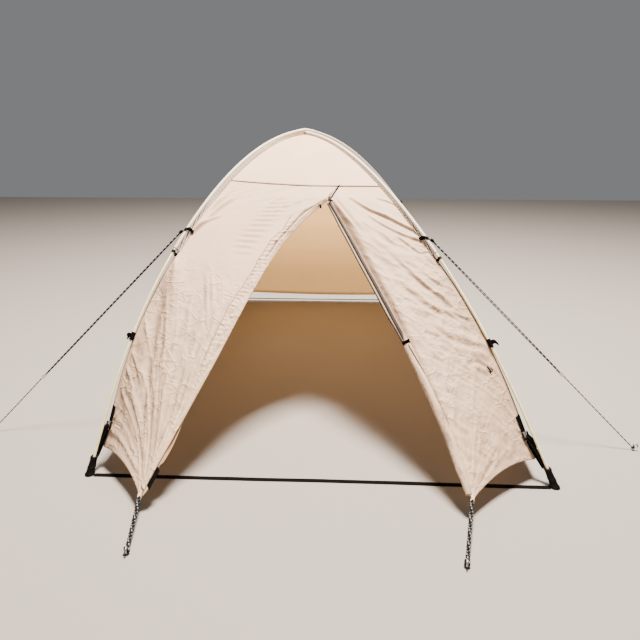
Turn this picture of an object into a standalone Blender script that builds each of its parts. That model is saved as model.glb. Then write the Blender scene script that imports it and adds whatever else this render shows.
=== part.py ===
"""Two-pole crossed dome tent, pitched with its fly only and its front doors staked open.

Metres, +Z up, the door faces -Y and -X is the left-hand side seen from the door.
The model is laid out from the middle of the four pole feet, and at the end everything is
moved together so that the middle of the pitched plan, pegs included, is the origin.
"""
import math

import bmesh
import bpy
import numpy as np

# Driving dimensions
WIDTH = 1.50            # between the left and the right pole feet
DEPTH = 2.34            # between the front and the back pole feet
HEIGHT = 1.095          # ground to the middle of the poles where they cross
LEAN = 0.119            # the pitched crown stands this far to the left of the middle
END_SLOPE = math.radians(66.7)   # how steeply the bent pole's own curve ends
PULL = 0.0675           # the taut cloth holds the poles' shoulders down, as a share of the height
PULL_SKEW = 0.0173      # and more so on their lower half than on their upper half

POLE_R = 0.00425        # 8.5 mm tent pole
POLE_STEP = 0.0056      # one pole passes this far above the mean curve, the other below
POLE_END_Z = 0.0155     # height of a pole's end inside its foot socket

RIDGE_DROP_TOP = 0.019  # from the pole's middle down to the seam of the cloth, in the sleeves
RIDGE_DROP_FOOT = 0.030 # the same at the bottom corner of the cloth
U_HOOK = 0.640          # along each half pole, 0 at the crown and 1 at the foot
U_TAB = 0.592
U_CORNER = 0.965        # bottom corner of the cloth
U_HEM_LOW = 0.973       # middle of a side or back hem, close to the ground
U_CROWN = 0.020         # the four cloth panels start here, under the crown patch
U_SEAM = 0.411          # cross seam of the front panel, above the doors
SLEEVE_U = (0.040, 0.628)
HOOK_U = (0.634, 0.643)
WRAP_U = (0.8025, 0.8155)

CLOTH = 0.003           # thickness that the thin cloth is given
EDGE_BACK = 0.0033      # each panel stops this far from the ridge seam's middle line
GAP = 0.0003            # between pieces that touch

FIT_GAP = 0.0007        # round a pole in a sleeve or band
SLEEVE_WALL = 0.0015
HOOK_R = 0.0070         # outside radius of a pole hook's band
WRAP_R = 0.0078
TAB_THICK = 0.0016
TAB_EAR = 0.006         # how far the tab stands out where the guyline is tied
TAB_HALF_U = 0.005      # half the webbing's width, as a share of the half pole
TAB_LEG_OUT = 0.0035    # a tab's legs stand this far out from the sleeve's sewn edge
TAB_LEG_END = 0.0060    # and stop this far above its foot
FIN_HALF = 0.0020       # half the thickness of a sleeve's sewn edge
FIN_SINK = 0.0014       # how far the sewn edge reaches between the panels

# Doors, in the layout frame: where the zip starts and its slider rests, and the staked corners
ZIP_TOP_X = 0.043
SLIDER = (0.008, 0.466)          # x, and the place along the front panel's curve
CORNER_LEFT = (-0.513, -1.364, 0.050)
CORNER_RIGHT = (0.454, -1.340, 0.055)
# A free door edge is pulled towards its pole by s(1 - s)(a + bs + cs^2), s from slider to corner
EDGE_BOW = {"left": (0.594, -1.116, 0.635), "right": (0.118, -0.069, 0.245)}
DOOR_HEM_RISE = 0.018   # share of the door's length that its hem rises between the corners
SEAM_GAP = 0.0005       # the doors start this far below the cross seam, as a share of the half pole
U_SPLIT = 0.060         # share of the door edge that the zip still closes

# The door's spare cloth: places are shares of the door's edge, from its top
FOLD_T = (0.10, 0.975)  # where the left half is turned under
FOLD_REACH = 0.40       # share of the door's width that the turned cloth reaches at the bottom
FOLD_PEEK = 0.016       # near the bottom it shows this far past the edge
FOLD_PEEK_FROM = 0.55
FOLD_CLOTH = 0.002
FOLD_GAP = 0.0008
ROLL_T = (0.09, 0.985)
ROLL_SHAPE_T = (0.08, 0.30, 0.75, 0.93, 1.0)
ROLL_SHAPE_R = (0.004, 0.011, 0.0155, 0.0150, 0.009)
ROLL_GAP = 0.0020       # the roll lies beside a slightly curved edge
TOGGLE_T = 0.53
TOGGLE_HALF = 0.004
TOGGLE_THICK = 0.0022
TOGGLE_GRIP = math.radians(125)   # how far round the roll the tie reaches each way

PATCH_HALF = 0.034      # half the side of the patch over the crossing
PATCH_THICK = 0.0015
PATCH_DROOP = 0.30      # how much it bends down with the crown, per metre

# Pegs, in the layout frame
GUY_PEGS = {
    "front_left": (-1.238, -0.888),
    "front_right": (1.103, -0.908),
    "back_left": (-0.727, 1.432),
    "back_right": (0.573, 1.432),
}
DOOR_PEGS = {"left": (-0.486, -1.551), "right": (0.403, -1.557)}
RUNNER_AT = {"left": 0.70, "right": 0.65}    # share of the guyline from its tab
LINE_R = 0.0015
CORD_R = 0.0028
PEG_R = 0.0025
PEG_HIGH = 0.024
PEG_HOOK_R = 0.007
PEG_HOLD_Z = 0.012      # height at which a line takes hold of its peg
PEG_CLEAR = 0.0010      # from the shank to the end of the line's middle line
EAR_CLEAR = 0.0012
CORNER_CLEAR = 0.0006
CORD_PEG_CLEAR = 0.0003
RUNNER_HALF_THICK = 0.0035
RUNNER_OUTLINE = ((-0.014, 0.0045), (-0.010, 0.0065), (0.010, 0.0065), (0.014, 0.0045))

SOCKET_HIGH = 0.055
SOCKET_WAIST = 0.030
SOCKET_RIM = 0.006
SOCKET_R_TOP = 0.0120
SOCKET_R_FOOT = 0.0160
SOCKET_HOLE_R = 0.0058
SOCKET_FLOOR = 0.012

STRAP_HALF = 0.010      # 20 mm webbing
WEB_HALF = 0.0009       # half its thickness
STRAP_END_GAP = 0.0011  # the socket leans over the strap end by most of this
STRAP_FROM_RIDGE = 0.0085
STRAP_OFF_CLOTH = 0.0008
STRAP_FOOT_Z = 0.049    # height at which a corner strap meets its foot socket
STRAP_FOOT_IN = 0.0150
STRAP_DOUBLE = 0.0016   # half the thickness of the doubled webbing below the buckle
STRAP_FOOT_HALF = 0.008 # half its width where it is gathered at the socket
BUCKLE = (0.0040, 0.0130)
# A corner strap's outline: the place on the half pole, half the thickness, half the width
STRAP_STATIONS = (
    (0.911, WEB_HALF, STRAP_HALF),
    (0.926, WEB_HALF, STRAP_HALF),
    (0.929, *BUCKLE),
    (0.943, *BUCKLE),
    (0.946, STRAP_DOUBLE, STRAP_HALF),
    (0.967, STRAP_DOUBLE, STRAP_HALF),
)

CORNERS = {
    "front_left": (-1, -1),
    "front_right": (1, -1),
    "back_left": (-1, 1),
    "back_right": (1, 1),
}

COLOURS = {
    "fly_cloth": ((0.77, 0.68, 0.60), 0.75, 0.0),
    "sleeve_cloth": ((0.83, 0.76, 0.69), 0.75, 0.0),
    "pole": ((0.86, 0.83, 0.70), 0.35, 0.3),
    "webbing": ((0.02, 0.02, 0.022), 0.8, 0.0),
    "plastic": ((0.02, 0.02, 0.022), 0.4, 0.0),
    "line": ((0.10, 0.10, 0.11), 0.8, 0.0),
    "runner": ((0.62, 0.63, 0.65), 0.35, 0.9),
    "peg": ((0.55, 0.56, 0.58), 0.35, 0.9),
}


def clear_scene():
    for thing in list(bpy.data.objects):
        bpy.data.objects.remove(thing, do_unlink=True)


def material(kind, name):
    colour, roughness, metallic = COLOURS[kind]
    mat = bpy.data.materials.new(name)
    mat.use_nodes = True
    shader = mat.node_tree.nodes["Principled BSDF"]
    shader.inputs["Base Color"].default_value = (*colour, 1.0)
    shader.inputs["Roughness"].default_value = roughness
    shader.inputs["Metallic"].default_value = metallic
    return mat


def add_object(name, data, kind):
    obj = bpy.data.objects.new(name, data)
    bpy.context.scene.collection.objects.link(obj)
    data.materials.append(material(kind, name))
    return obj


# The bent pole

def bent_rod_profile(end_slope, count=300):
    """Half of a thin rod bent by a push on its two ends, from its top to its foot.

    The slope angle t obeys sin(t/2) = k sin(p) with k = sin(end_slope/2) and p from 0 to 90
    degrees, and the arc length grows as 1/sqrt(1 - (k sin p)^2). Both results run 0 to 1.
    """
    k = math.sin(end_slope / 2)
    p = np.linspace(0, math.pi / 2, count)
    slope = 2 * np.arcsin(k * np.sin(p))
    arc = 1 / np.sqrt(1 - (k * np.sin(p)) ** 2)
    step = np.diff(p)
    run = np.concatenate([[0], np.cumsum((np.cos(slope) * arc)[:-1] * step)])
    fall = np.concatenate([[0], np.cumsum((np.sin(slope) * arc)[1:] * step)])
    return run / run[-1], 1 - fall / fall[-1]


ROD_RUN, ROD_HEIGHT = bent_rod_profile(END_SLOPE)
ROD_HEIGHT = ROD_HEIGHT - PULL * np.sin(math.pi * ROD_RUN) + PULL_SKEW * np.sin(2 * math.pi * ROD_RUN)


def height_share(u):
    return np.interp(u, ROD_RUN, ROD_HEIGHT)


def mean_curve(corner, u):
    """The half pole towards a corner, before the two poles step past each other."""
    sx, sy = CORNERS[corner]
    u = np.asarray(u, float)
    share = height_share(u)
    x = sx * WIDTH / 2 * u - LEAN * share
    y = sy * DEPTH / 2 * u
    return np.stack([x, y, HEIGHT * share], axis=-1)


def is_upper(corner):
    return corner in ("front_left", "back_right")


def pole_step(corner):
    return POLE_STEP if is_upper(corner) else -POLE_STEP


def pole_curve(corner, u):
    points = mean_curve(corner, u)
    points[..., 2] += pole_step(corner) * height_share(u)
    return points


def place_at_height(corner, z):
    """The place on a half pole, 0 to 1, where its middle is at a height."""
    heights = (HEIGHT + pole_step(corner)) * ROD_HEIGHT
    return float(np.interp(z, heights[::-1], ROD_RUN[::-1]))


def unit(v):
    v = np.asarray(v, float)
    return v / np.linalg.norm(v, axis=-1, keepdims=True)


def frame_on(corner, u):
    """Directions on a half pole: along it, level across it, and outwards from the tent."""
    u = np.asarray(u, float)
    low = np.clip(u - 0.01, 0, 1)
    high = np.clip(u + 0.01, 0, 1)
    along = unit(mean_curve(corner, high) - mean_curve(corner, low))
    up = np.zeros_like(along)
    up[..., 2] = 1.0
    across = unit(np.cross(up, along))
    out = np.cross(along, across)
    return along, across, out


def ridge_drop(u):
    return np.interp(u, [0.0, U_HOOK, U_CORNER], [RIDGE_DROP_TOP, RIDGE_DROP_TOP, RIDGE_DROP_FOOT])


def ridge(corner, u):
    """The seam of the cloth under a half pole."""
    along, across, out = frame_on(corner, u)
    return mean_curve(corner, u) - out * np.asarray(ridge_drop(u))[..., None]


# Mesh helpers

def mesh_object(name, points, faces, kind, smooth=True):
    mesh = bpy.data.meshes.new(name)
    mesh.from_pydata([tuple(p) for p in points], [], faces)
    work = bmesh.new()
    work.from_mesh(mesh)
    bmesh.ops.remove_doubles(work, verts=work.verts, dist=1e-6)
    bmesh.ops.recalc_face_normals(work, faces=work.faces)
    work.to_mesh(mesh)
    work.free()
    if smooth:
        mesh.shade_smooth()
        mesh.set_sharp_from_angle(angle=math.radians(40))
    return add_object(name, mesh, kind)


def cloth_panel(name, grid, kind="fly_cloth", thickness=CLOTH):
    """A sheet through a grid of points, its outer side on the grid, made solid inwards."""
    rows, cols = grid.shape[:2]
    points = grid.reshape(-1, 3)
    faces = []
    for i in range(rows - 1):
        for j in range(cols - 1):
            a = i * cols + j
            faces.append((a, a + 1, a + cols + 1, a + cols))
    mesh = bpy.data.meshes.new(name)
    mesh.from_pydata([tuple(p) for p in points], [], faces)
    away = points.mean(axis=0) - np.array([-LEAN / 2, 0.0, 0.0])
    normal_sum = sum((np.array(p.normal) for p in mesh.polygons), np.zeros(3))
    if normal_sum @ away < 0:
        mesh.flip_normals()
    mesh.shade_smooth()
    obj = add_object(name, mesh, kind)
    solid = obj.modifiers.new("thickness", "SOLIDIFY")
    solid.thickness = thickness
    solid.offset = -1
    solid.use_even_offset = False
    solid.use_rim = True
    return obj


def lofted(name, rings, kind, looped=False):
    """A solid through rings of the same number of points, closed by flat ends or on itself."""
    count = len(rings[0])
    points = np.concatenate(rings)
    faces = []
    total = len(rings)
    last = total if looped else total - 1
    for i in range(last):
        here = i * count
        there = ((i + 1) % total) * count
        for j in range(count):
            k = (j + 1) % count
            faces.append((here + j, here + k, there + k, there + j))
    if not looped:
        faces.append(tuple(range(count)))
        faces.append(tuple(range((total - 1) * count, total * count)))
    return mesh_object(name, points, faces, kind)


def rod(name, points, radius, kind, resolution=2, radii=None):
    """A round bar through points: a poly curve with a bevel and filled ends."""
    curve = bpy.data.curves.new(name, "CURVE")
    curve.dimensions = "3D"
    curve.bevel_depth = radius
    curve.bevel_resolution = resolution
    curve.use_fill_caps = True
    spline = curve.splines.new("POLY")
    spline.points.add(len(points) - 1)
    for index, point in enumerate(points):
        spline.points[index].co = (*point, 1.0)
        if radii is not None:
            spline.points[index].radius = radii[index] / radius
    spline.use_smooth = True
    return add_object(name, curve, kind)


# Poles and what is threaded on them

def make_pole(name, front, back):
    """A whole pole, from its foot in the front, over the crown, to its foot at the back."""
    u_end = place_at_height(front, POLE_END_Z)
    u = np.sin(np.linspace(0, math.pi / 2, 34)) * u_end
    first = pole_curve(front, u[::-1])
    second = pole_curve(back, u[1:])
    return rod(name, np.concatenate([first, second]), POLE_R, "pole", resolution=3)


def arc_points(centre, across, out, radius, angles):
    """Points round a centre. The radius is one number, or one for each angle."""
    reach = np.broadcast_to(radius, np.shape(angles))
    return list(centre + np.outer(reach * np.cos(angles), across) + np.outer(reach * np.sin(angles), out))


BAND_ANGLES = np.radians(np.linspace(-50, 230, 9))      # round the pole's outer side
BAND_FOOT_ANGLES = np.radians([255, 285])               # and past the sewn edge


def keyhole(corner, u, radius):
    """Outline of a band that runs round a pole and closes in a flat sewn edge at the ridge.

    Returned as the outer ring and the round hole, both with the same number of points.
    """
    _, across, out = frame_on(corner, u)
    centre = pole_curve(corner, u)
    drop = float((centre - ridge(corner, u)) @ out) + FIN_SINK
    ring = arc_points(centre, across, out, radius, BAND_ANGLES)
    ring.append(centre - across * FIN_HALF - out * drop)
    ring.append(centre + across * FIN_HALF - out * drop)
    hole_angles = np.concatenate([BAND_ANGLES, BAND_FOOT_ANGLES])
    return ring, arc_points(centre, across, out, POLE_R + FIT_GAP, hole_angles)


def make_band(name, corner, span, radius, kind, stations):
    """A keyhole outline carried along a half pole: a sleeve, a hook or a wrap."""
    outer = []
    inner = []
    for u in np.linspace(*span, stations):
        ring, hole = keyhole(corner, float(u), radius)
        outer.append(ring)
        inner.append(hole)
    return lofted(name, outer + inner[::-1], kind, looped=True)


TAB_INNER_R = POLE_R + FIT_GAP + SLEEVE_WALL + GAP


def make_tab(name, corner):
    """Webbing folded over the sleeve, with an ear that takes the guyline."""
    reach = np.full(len(BAND_ANGLES), TAB_INNER_R + TAB_THICK)
    reach[len(BAND_ANGLES) // 2] += TAB_EAR
    leg = FIN_HALF + TAB_LEG_OUT
    rings = []
    for u in np.linspace(U_TAB - TAB_HALF_U, U_TAB + TAB_HALF_U, 3):
        _, across, out = frame_on(corner, u)
        centre = pole_curve(corner, u)
        drop = float((centre - ridge(corner, u)) @ out) - TAB_LEG_END
        outer = arc_points(centre, across, out, reach, BAND_ANGLES)
        inner = arc_points(centre, across, out, TAB_INNER_R, BAND_ANGLES)
        left_leg = [centre - across * wide - out * drop for wide in (leg, leg - TAB_THICK)]
        right_leg = [centre + across * wide - out * drop for wide in (leg - TAB_THICK, leg)]
        rings.append(outer + left_leg + inner[::-1] + right_leg)
    return lofted(name, rings, "webbing")


def tab_eye(corner):
    """Where the guyline leaves the tab's ear."""
    out = frame_on(corner, U_TAB)[2]
    reach = TAB_INNER_R + TAB_THICK + TAB_EAR
    return pole_curve(corner, U_TAB) + out * (reach + LINE_R + GAP)


def make_socket(name, corner):
    """A cup with a flat foot that the pole's end stands in."""
    turn = np.linspace(0, 2 * math.pi, 14, endpoint=False)

    def ring_at(z, radius):
        centre = pole_curve(corner, place_at_height(corner, z))
        centre[2] = z
        return arc_points(centre, np.array([1.0, 0, 0]), np.array([0, 1.0, 0]), radius, turn)

    rings = []
    for z in (0.0, SOCKET_RIM, SOCKET_WAIST, SOCKET_HIGH):
        share = z / SOCKET_HIGH
        rings.append(ring_at(z, SOCKET_R_FOOT + (SOCKET_R_TOP - SOCKET_R_FOOT) * share))
    for z in (SOCKET_HIGH, SOCKET_WAIST, SOCKET_FLOOR):
        rings.append(ring_at(z, SOCKET_HOLE_R))
    return lofted(name, rings, "plastic")


# Cloth

def pulled_back(point, target, corner, u):
    """A panel's edge beside the ridge: moved along the cloth, EDGE_BACK clear of the seam."""
    along = frame_on(corner, u)[0]
    ruling = unit(target - point)
    sideways = np.linalg.norm(ruling - (ruling @ along) * along)
    return point + ruling * (EDGE_BACK / sideways)


def ruled_row(corner_a, corner_b, u, count):
    """One straight row of cloth between two ridges."""
    a = ridge(corner_a, u)
    b = ridge(corner_b, u)
    start = pulled_back(a, b, corner_a, u)
    end = pulled_back(b, a, corner_b, u)
    share = np.linspace(0, 1, count)[:, None]
    return start * (1 - share) + end * share


def make_wall(name, corner_a, corner_b, u_to, u_low, rows, cols):
    """A wall between two half poles, made of straight level rows, its hem lowest in the middle."""
    grid = np.zeros((rows, cols, 3))
    dip = np.sin(math.pi * np.linspace(0, 1, cols))[:, None]
    for i, t in enumerate(np.linspace(0, 1, rows)):
        u = U_CROWN + (u_to - U_CROWN) * t
        straight = ruled_row(corner_a, corner_b, u, cols)
        low = ruled_row(corner_a, corner_b, u + (u_low - u_to) * t ** 3, cols)
        grid[i] = straight * (1 - dip) + low * dip
    return cloth_panel(name, grid)


def front_row(u, x):
    """A point of the front cloth's straight row between the two front ridges."""
    left = ridge("front_left", u)
    right = ridge("front_right", u)
    return left + (right - left) * (x - left[0]) / (right[0] - left[0])


def door_edge(side, t):
    """A door's free edge: down the zip to the slider, then a slack curve to its staked corner."""
    top = front_row(U_SEAM + SEAM_GAP, ZIP_TOP_X)
    slider = front_row(SLIDER[1], SLIDER[0])
    if t <= U_SPLIT:
        share = t / U_SPLIT
        return top * (1 - share) + slider * share
    sign = -1 if side == "left" else 1
    corner = np.array(CORNER_LEFT if side == "left" else CORNER_RIGHT)
    s = (t - U_SPLIT) / (1 - U_SPLIT)
    a, b, c = EDGE_BOW[side]
    bow = s * (1 - s) * (a + b * s + c * s * s)
    return slider * (1 - s) + corner * s + unit([sign, 0.3, 0.15]) * bow


def door_point(side, s, t):
    """A point of a door, s from the pole's ridge to the free edge and t down from the seam."""
    corner = "front_" + side
    t = t * (1 - DOOR_HEM_RISE * 4 * s * (1 - s))
    u = U_SEAM + SEAM_GAP + (U_CORNER - U_SEAM - SEAM_GAP) * t
    root = ridge(corner, u)
    free = door_edge(side, t)
    start = pulled_back(root, free, corner, u)
    free = free + unit(start - free) * GAP
    return start * (1 - s) + free * s


def make_door(side, rows=15, cols=9):
    grid = np.zeros((rows, cols, 3))
    for i, t in enumerate(np.linspace(0, 1, rows)):
        for j, s in enumerate(np.linspace(0, 1, cols)):
            grid[i, j] = door_point(side, s, t)
    return cloth_panel("door_" + side, grid)


def make_door_fold():
    """The left door's spare cloth, turned under along its free edge."""
    rows, cols = 13, 5
    grid = np.zeros((rows, cols, 3))
    step = 0.02
    for i, t in enumerate(np.linspace(*FOLD_T, rows)):
        low = min(max((t - FOLD_PEEK_FROM) / (1 - FOLD_PEEK_FROM), 0), 1)
        peek = FOLD_PEEK * math.sin(math.pi * low)
        for j, s in enumerate(np.linspace(0, 1, cols)):
            share = 1 - FOLD_REACH * t * s
            here = door_point("left", share, t)
            du = door_point("left", min(share + step, 1), t) - door_point("left", share - step, t)
            dt = door_point("left", share, min(t + step, 1)) - door_point("left", share, t - step)
            inwards = unit(np.cross(dt, du))
            if inwards[1] < 0:
                inwards = -inwards
            grid[i, j] = here + inwards * (CLOTH + FOLD_GAP) + unit(du) * peek * (1 - s)
    return cloth_panel("door_fold_left", grid, thickness=FOLD_CLOTH)


def roll_radius(t):
    return float(np.interp(t, ROLL_SHAPE_T, ROLL_SHAPE_R))


def roll_centre(t):
    edge = door_edge("right", t)
    root = ridge("front_right", U_SEAM + (U_CORNER - U_SEAM) * t)
    return edge + unit(edge - root) * (roll_radius(t) + ROLL_GAP)


def make_door_roll():
    """The right door's spare cloth, rolled up along its free edge."""
    steps = np.linspace(*ROLL_T, 22)
    points = [roll_centre(t) for t in steps]
    radii = [roll_radius(t) for t in steps]
    return rod("door_roll_right", points, max(radii), "fly_cloth", resolution=3, radii=radii)


def make_door_toggle():
    """The tie that holds the roll: a band round the roll's free side."""
    step = 0.005
    along = unit(roll_centre(TOGGLE_T + step) - roll_centre(TOGGLE_T - step))
    edge = door_edge("right", TOGGLE_T)
    out = unit(roll_centre(TOGGLE_T) - edge)
    out = unit(out - (out @ along) * along)
    across = np.cross(along, out)
    inner_r = roll_radius(TOGGLE_T + 2 * step) + FIT_GAP
    outer_r = inner_r + TOGGLE_THICK
    rings = []
    angles = np.linspace(-TOGGLE_GRIP, TOGGLE_GRIP, 11)
    for shift in (-TOGGLE_HALF, TOGGLE_HALF):
        centre = roll_centre(TOGGLE_T) + along * shift
        outer = arc_points(centre, out, across, outer_r, angles)
        inner = arc_points(centre, out, across, inner_r, angles[::-1])
        rings.append(outer + inner)
    return lofted("door_toggle", rings, "webbing")


def make_crown_patch():
    """A square of cloth over the crossing of the poles, bent down with the crown."""
    count = 7
    steps = np.linspace(-PATCH_HALF, PATCH_HALF, count)
    grid = np.zeros((count, count, 3))
    top = HEIGHT + POLE_STEP + POLE_R + GAP + PATCH_THICK
    run = math.hypot(WIDTH, DEPTH)
    for i, a in enumerate(steps):
        for j, b in enumerate(steps):
            x = (a + b) * WIDTH / run
            y = (a - b) * DEPTH / run
            grid[i, j] = (x - LEAN, y, top - PATCH_DROOP * (x * x + y * y))
    return cloth_panel("crown_patch", grid, kind="sleeve_cloth", thickness=PATCH_THICK)


# Webbing, lines and pegs

def panel_side(corner, u):
    """At a ridge: along the front or back cloth, away from the ridge, and that cloth's outer side."""
    along, across, out = frame_on(corner, u)
    root = ridge(corner, u)
    if corner.startswith("front"):
        side = corner.split("_")[1]
        target = door_edge(side, (u - U_SEAM) / (U_CORNER - U_SEAM))
    else:
        other = "back_right" if corner == "back_left" else "back_left"
        target = ridge(other, u)
    ruling = unit(target - root)
    normal = unit(np.cross(along, ruling))
    if normal @ out < 0:
        normal = -normal
    return ruling, normal


def make_corner_strap(name, corner):
    """Webbing sewn on the cloth's edge, with its buckle, drawn down to the foot socket."""
    rings = []
    for u, half_t, half_w in STRAP_STATIONS:
        ruling, normal = panel_side(corner, u)
        centre = ridge(corner, u) + ruling * STRAP_FROM_RIDGE + normal * (half_t + STRAP_OFF_CLOTH)
        rings.append(strap_ring(centre, ruling, normal, half_w, half_t))
    u_end = place_at_height(corner, STRAP_FOOT_Z)
    along, across, out = frame_on(corner, u_end)
    if across @ ruling < 0:
        across = -across
    inwards = unit(along * np.array([-1, -1, 0]))
    foot = pole_curve(corner, u_end) + inwards * STRAP_FOOT_IN
    rings.append(strap_ring(foot, across, out, STRAP_FOOT_HALF, STRAP_DOUBLE))
    return lofted(name, rings, "webbing")


def strap_ring(centre, across, out, half_w, half_t):
    return [
        centre + across * half_w + out * half_t,
        centre - across * half_w + out * half_t,
        centre - across * half_w - out * half_t,
        centre + across * half_w - out * half_t,
    ]


def make_ground_strap(name, side):
    """The strap that keeps two feet apart, flat on the ground from socket to socket."""
    y = side * DEPTH / 2
    end = WIDTH / 2 - SOCKET_R_FOOT - STRAP_END_GAP
    across = np.array([0.0, 1.0, 0.0])
    up = np.array([0.0, 0.0, 1.0])
    rings = []
    for x in np.linspace(-end, end, 5):
        rings.append(strap_ring(np.array([x, y, WEB_HALF]), across, up, STRAP_HALF, WEB_HALF))
    return lofted(name, rings, "webbing")


def level_towards(start, end):
    """The level direction from one point to another."""
    return unit((np.asarray(end) - np.asarray(start)) * np.array([1, 1, 0]))


def peg_hold(peg, source):
    """Where a line meets a peg: at the side of its shank that faces the line's other end."""
    foot = np.array([*peg, 0.0])
    return foot + level_towards(foot, source) * (PEG_R + PEG_CLEAR) + np.array([0, 0, PEG_HOLD_Z])


def make_peg(name, peg, source):
    """A wire peg's head: a short shank out of the ground, hooked over away from the tent."""
    foot = np.array([*peg, 0.0])
    level = level_towards(source, foot)
    up = np.array([0, 0, 1.0])
    neck = foot + up * (PEG_HIGH - PEG_HOOK_R)
    angles = np.radians(np.linspace(20, 200, 10))
    hook = arc_points(neck + level * PEG_HOOK_R, -level, up, PEG_HOOK_R, angles)
    return rod(name, [foot, (foot + neck) / 2, neck] + hook, PEG_R, "peg")


def make_guyline(corner):
    """The taut line from a tab to its peg, with the runner that it passes through."""
    start = tab_eye(corner)
    end = peg_hold(GUY_PEGS[corner], start)
    along = unit(end - start)
    start = start + along * EAR_CLEAR
    rod("guyline_" + corner, [start, (start + end) / 2, end], LINE_R, "line")
    share = RUNNER_AT[corner.split("_")[1]]
    middle = start * (1 - share) + end * share
    across = unit(np.cross([0, 0, 1], along))
    out = np.cross(along, across)
    turn = np.linspace(0, 2 * math.pi, 12, endpoint=False)
    outer = []
    inner = []
    for shift, wide in RUNNER_OUTLINE:
        centre = middle + along * shift
        outer.append(arc_points(centre, across * wide, out * RUNNER_HALF_THICK, 1.0, turn))
        inner.append(arc_points(centre, across, out, LINE_R + GAP, turn))
    lofted("runner_" + corner, outer + inner[::-1], "runner", looped=True)
    make_peg("guy_peg_" + corner, GUY_PEGS[corner], start)


def make_door_cord(side):
    """The short doubled cord from a door's corner to its peg."""
    corner = np.array(CORNER_LEFT if side == "left" else CORNER_RIGHT)
    peg = DOOR_PEGS[side]
    end = peg_hold(peg, corner)
    end = end + level_towards(end, corner) * CORD_PEG_CLEAR
    start = corner + unit(end - corner) * CORNER_CLEAR
    rod("door_cord_" + side, [start, (start + end) / 2, end], CORD_R, "line")
    make_peg("door_peg_" + side, peg, corner)


def move_to_plan_middle():
    """Moves every piece so that the box's bottom middle is the origin."""
    bpy.context.view_layer.update()
    graph = bpy.context.evaluated_depsgraph_get()
    low = np.full(3, 1e9)
    high = np.full(3, -1e9)
    for obj in bpy.context.scene.objects:
        mesh = obj.evaluated_get(graph).to_mesh()
        points = np.array([v.co[:] for v in mesh.vertices])
        low = np.minimum(low, points.min(axis=0))
        high = np.maximum(high, points.max(axis=0))
        obj.evaluated_get(graph).to_mesh_clear()
    shift = (low + high) / 2
    for obj in bpy.context.scene.objects:
        obj.location = (-shift[0], -shift[1], 0.0)


def build():
    clear_scene()
    make_pole("pole_upper", "front_left", "back_right")
    make_pole("pole_lower", "front_right", "back_left")
    make_crown_patch()

    make_wall("front_canopy", "front_left", "front_right", U_SEAM, U_SEAM, 11, 9)
    make_wall("side_left", "front_left", "back_left", U_CORNER, U_HEM_LOW, 19, 11)
    make_wall("side_right", "front_right", "back_right", U_CORNER, U_HEM_LOW, 19, 11)
    make_wall("back_panel", "back_left", "back_right", U_CORNER, U_HEM_LOW, 19, 9)
    make_door("left")
    make_door("right")
    make_door_fold()
    make_door_roll()
    make_door_toggle()

    sleeve_r = POLE_R + FIT_GAP + SLEEVE_WALL
    for corner in CORNERS:
        make_band("sleeve_" + corner, corner, SLEEVE_U, sleeve_r, "sleeve_cloth", 15)
        make_band("pole_hook_" + corner, corner, HOOK_U, HOOK_R, "plastic", 2)
        make_band("pole_wrap_" + corner, corner, WRAP_U, WRAP_R, "webbing", 3)
        make_tab("guy_tab_" + corner, corner)
        make_socket("foot_socket_" + corner, corner)
        make_corner_strap("corner_strap_" + corner, corner)
        make_guyline(corner)
    for side in ("left", "right"):
        make_door_cord(side)
    make_ground_strap("ground_strap_front", -1)
    make_ground_strap("ground_strap_back", 1)
    move_to_plan_middle()


build()
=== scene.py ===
# Looks of a two-pole dome tent that stands with only its fly pitched and its front doors staked open.
# The tent is laid out from the middle of its four pole feet: the door faces -Y, the left side is -X.
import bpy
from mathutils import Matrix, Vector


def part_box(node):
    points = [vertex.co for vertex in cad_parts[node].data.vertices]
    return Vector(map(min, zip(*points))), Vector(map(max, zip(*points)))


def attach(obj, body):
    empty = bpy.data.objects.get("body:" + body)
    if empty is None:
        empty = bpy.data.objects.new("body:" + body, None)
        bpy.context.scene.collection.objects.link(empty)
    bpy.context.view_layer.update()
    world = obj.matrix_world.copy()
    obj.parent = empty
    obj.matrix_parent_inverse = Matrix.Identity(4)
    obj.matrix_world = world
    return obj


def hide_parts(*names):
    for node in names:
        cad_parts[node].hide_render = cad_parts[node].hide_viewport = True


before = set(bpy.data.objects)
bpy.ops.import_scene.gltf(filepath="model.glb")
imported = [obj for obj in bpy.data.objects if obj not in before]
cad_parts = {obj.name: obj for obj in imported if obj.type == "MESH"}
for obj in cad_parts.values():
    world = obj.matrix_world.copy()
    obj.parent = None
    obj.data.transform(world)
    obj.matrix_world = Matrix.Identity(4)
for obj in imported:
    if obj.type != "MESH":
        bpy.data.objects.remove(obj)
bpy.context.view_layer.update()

import bmesh
import bpy
import numpy as np
from mathutils import Matrix


def nodeMiddle(node):
    # The middle of a CAD node's box.
    return np.mean(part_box(node), axis=0)


# The two ground straps lie symmetrically about the layout's middle.
layoutOrigin = (nodeMiddle("ground_strap_front") + nodeMiddle("ground_strap_back")) / 2 * np.array([1, 1, 0])

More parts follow.
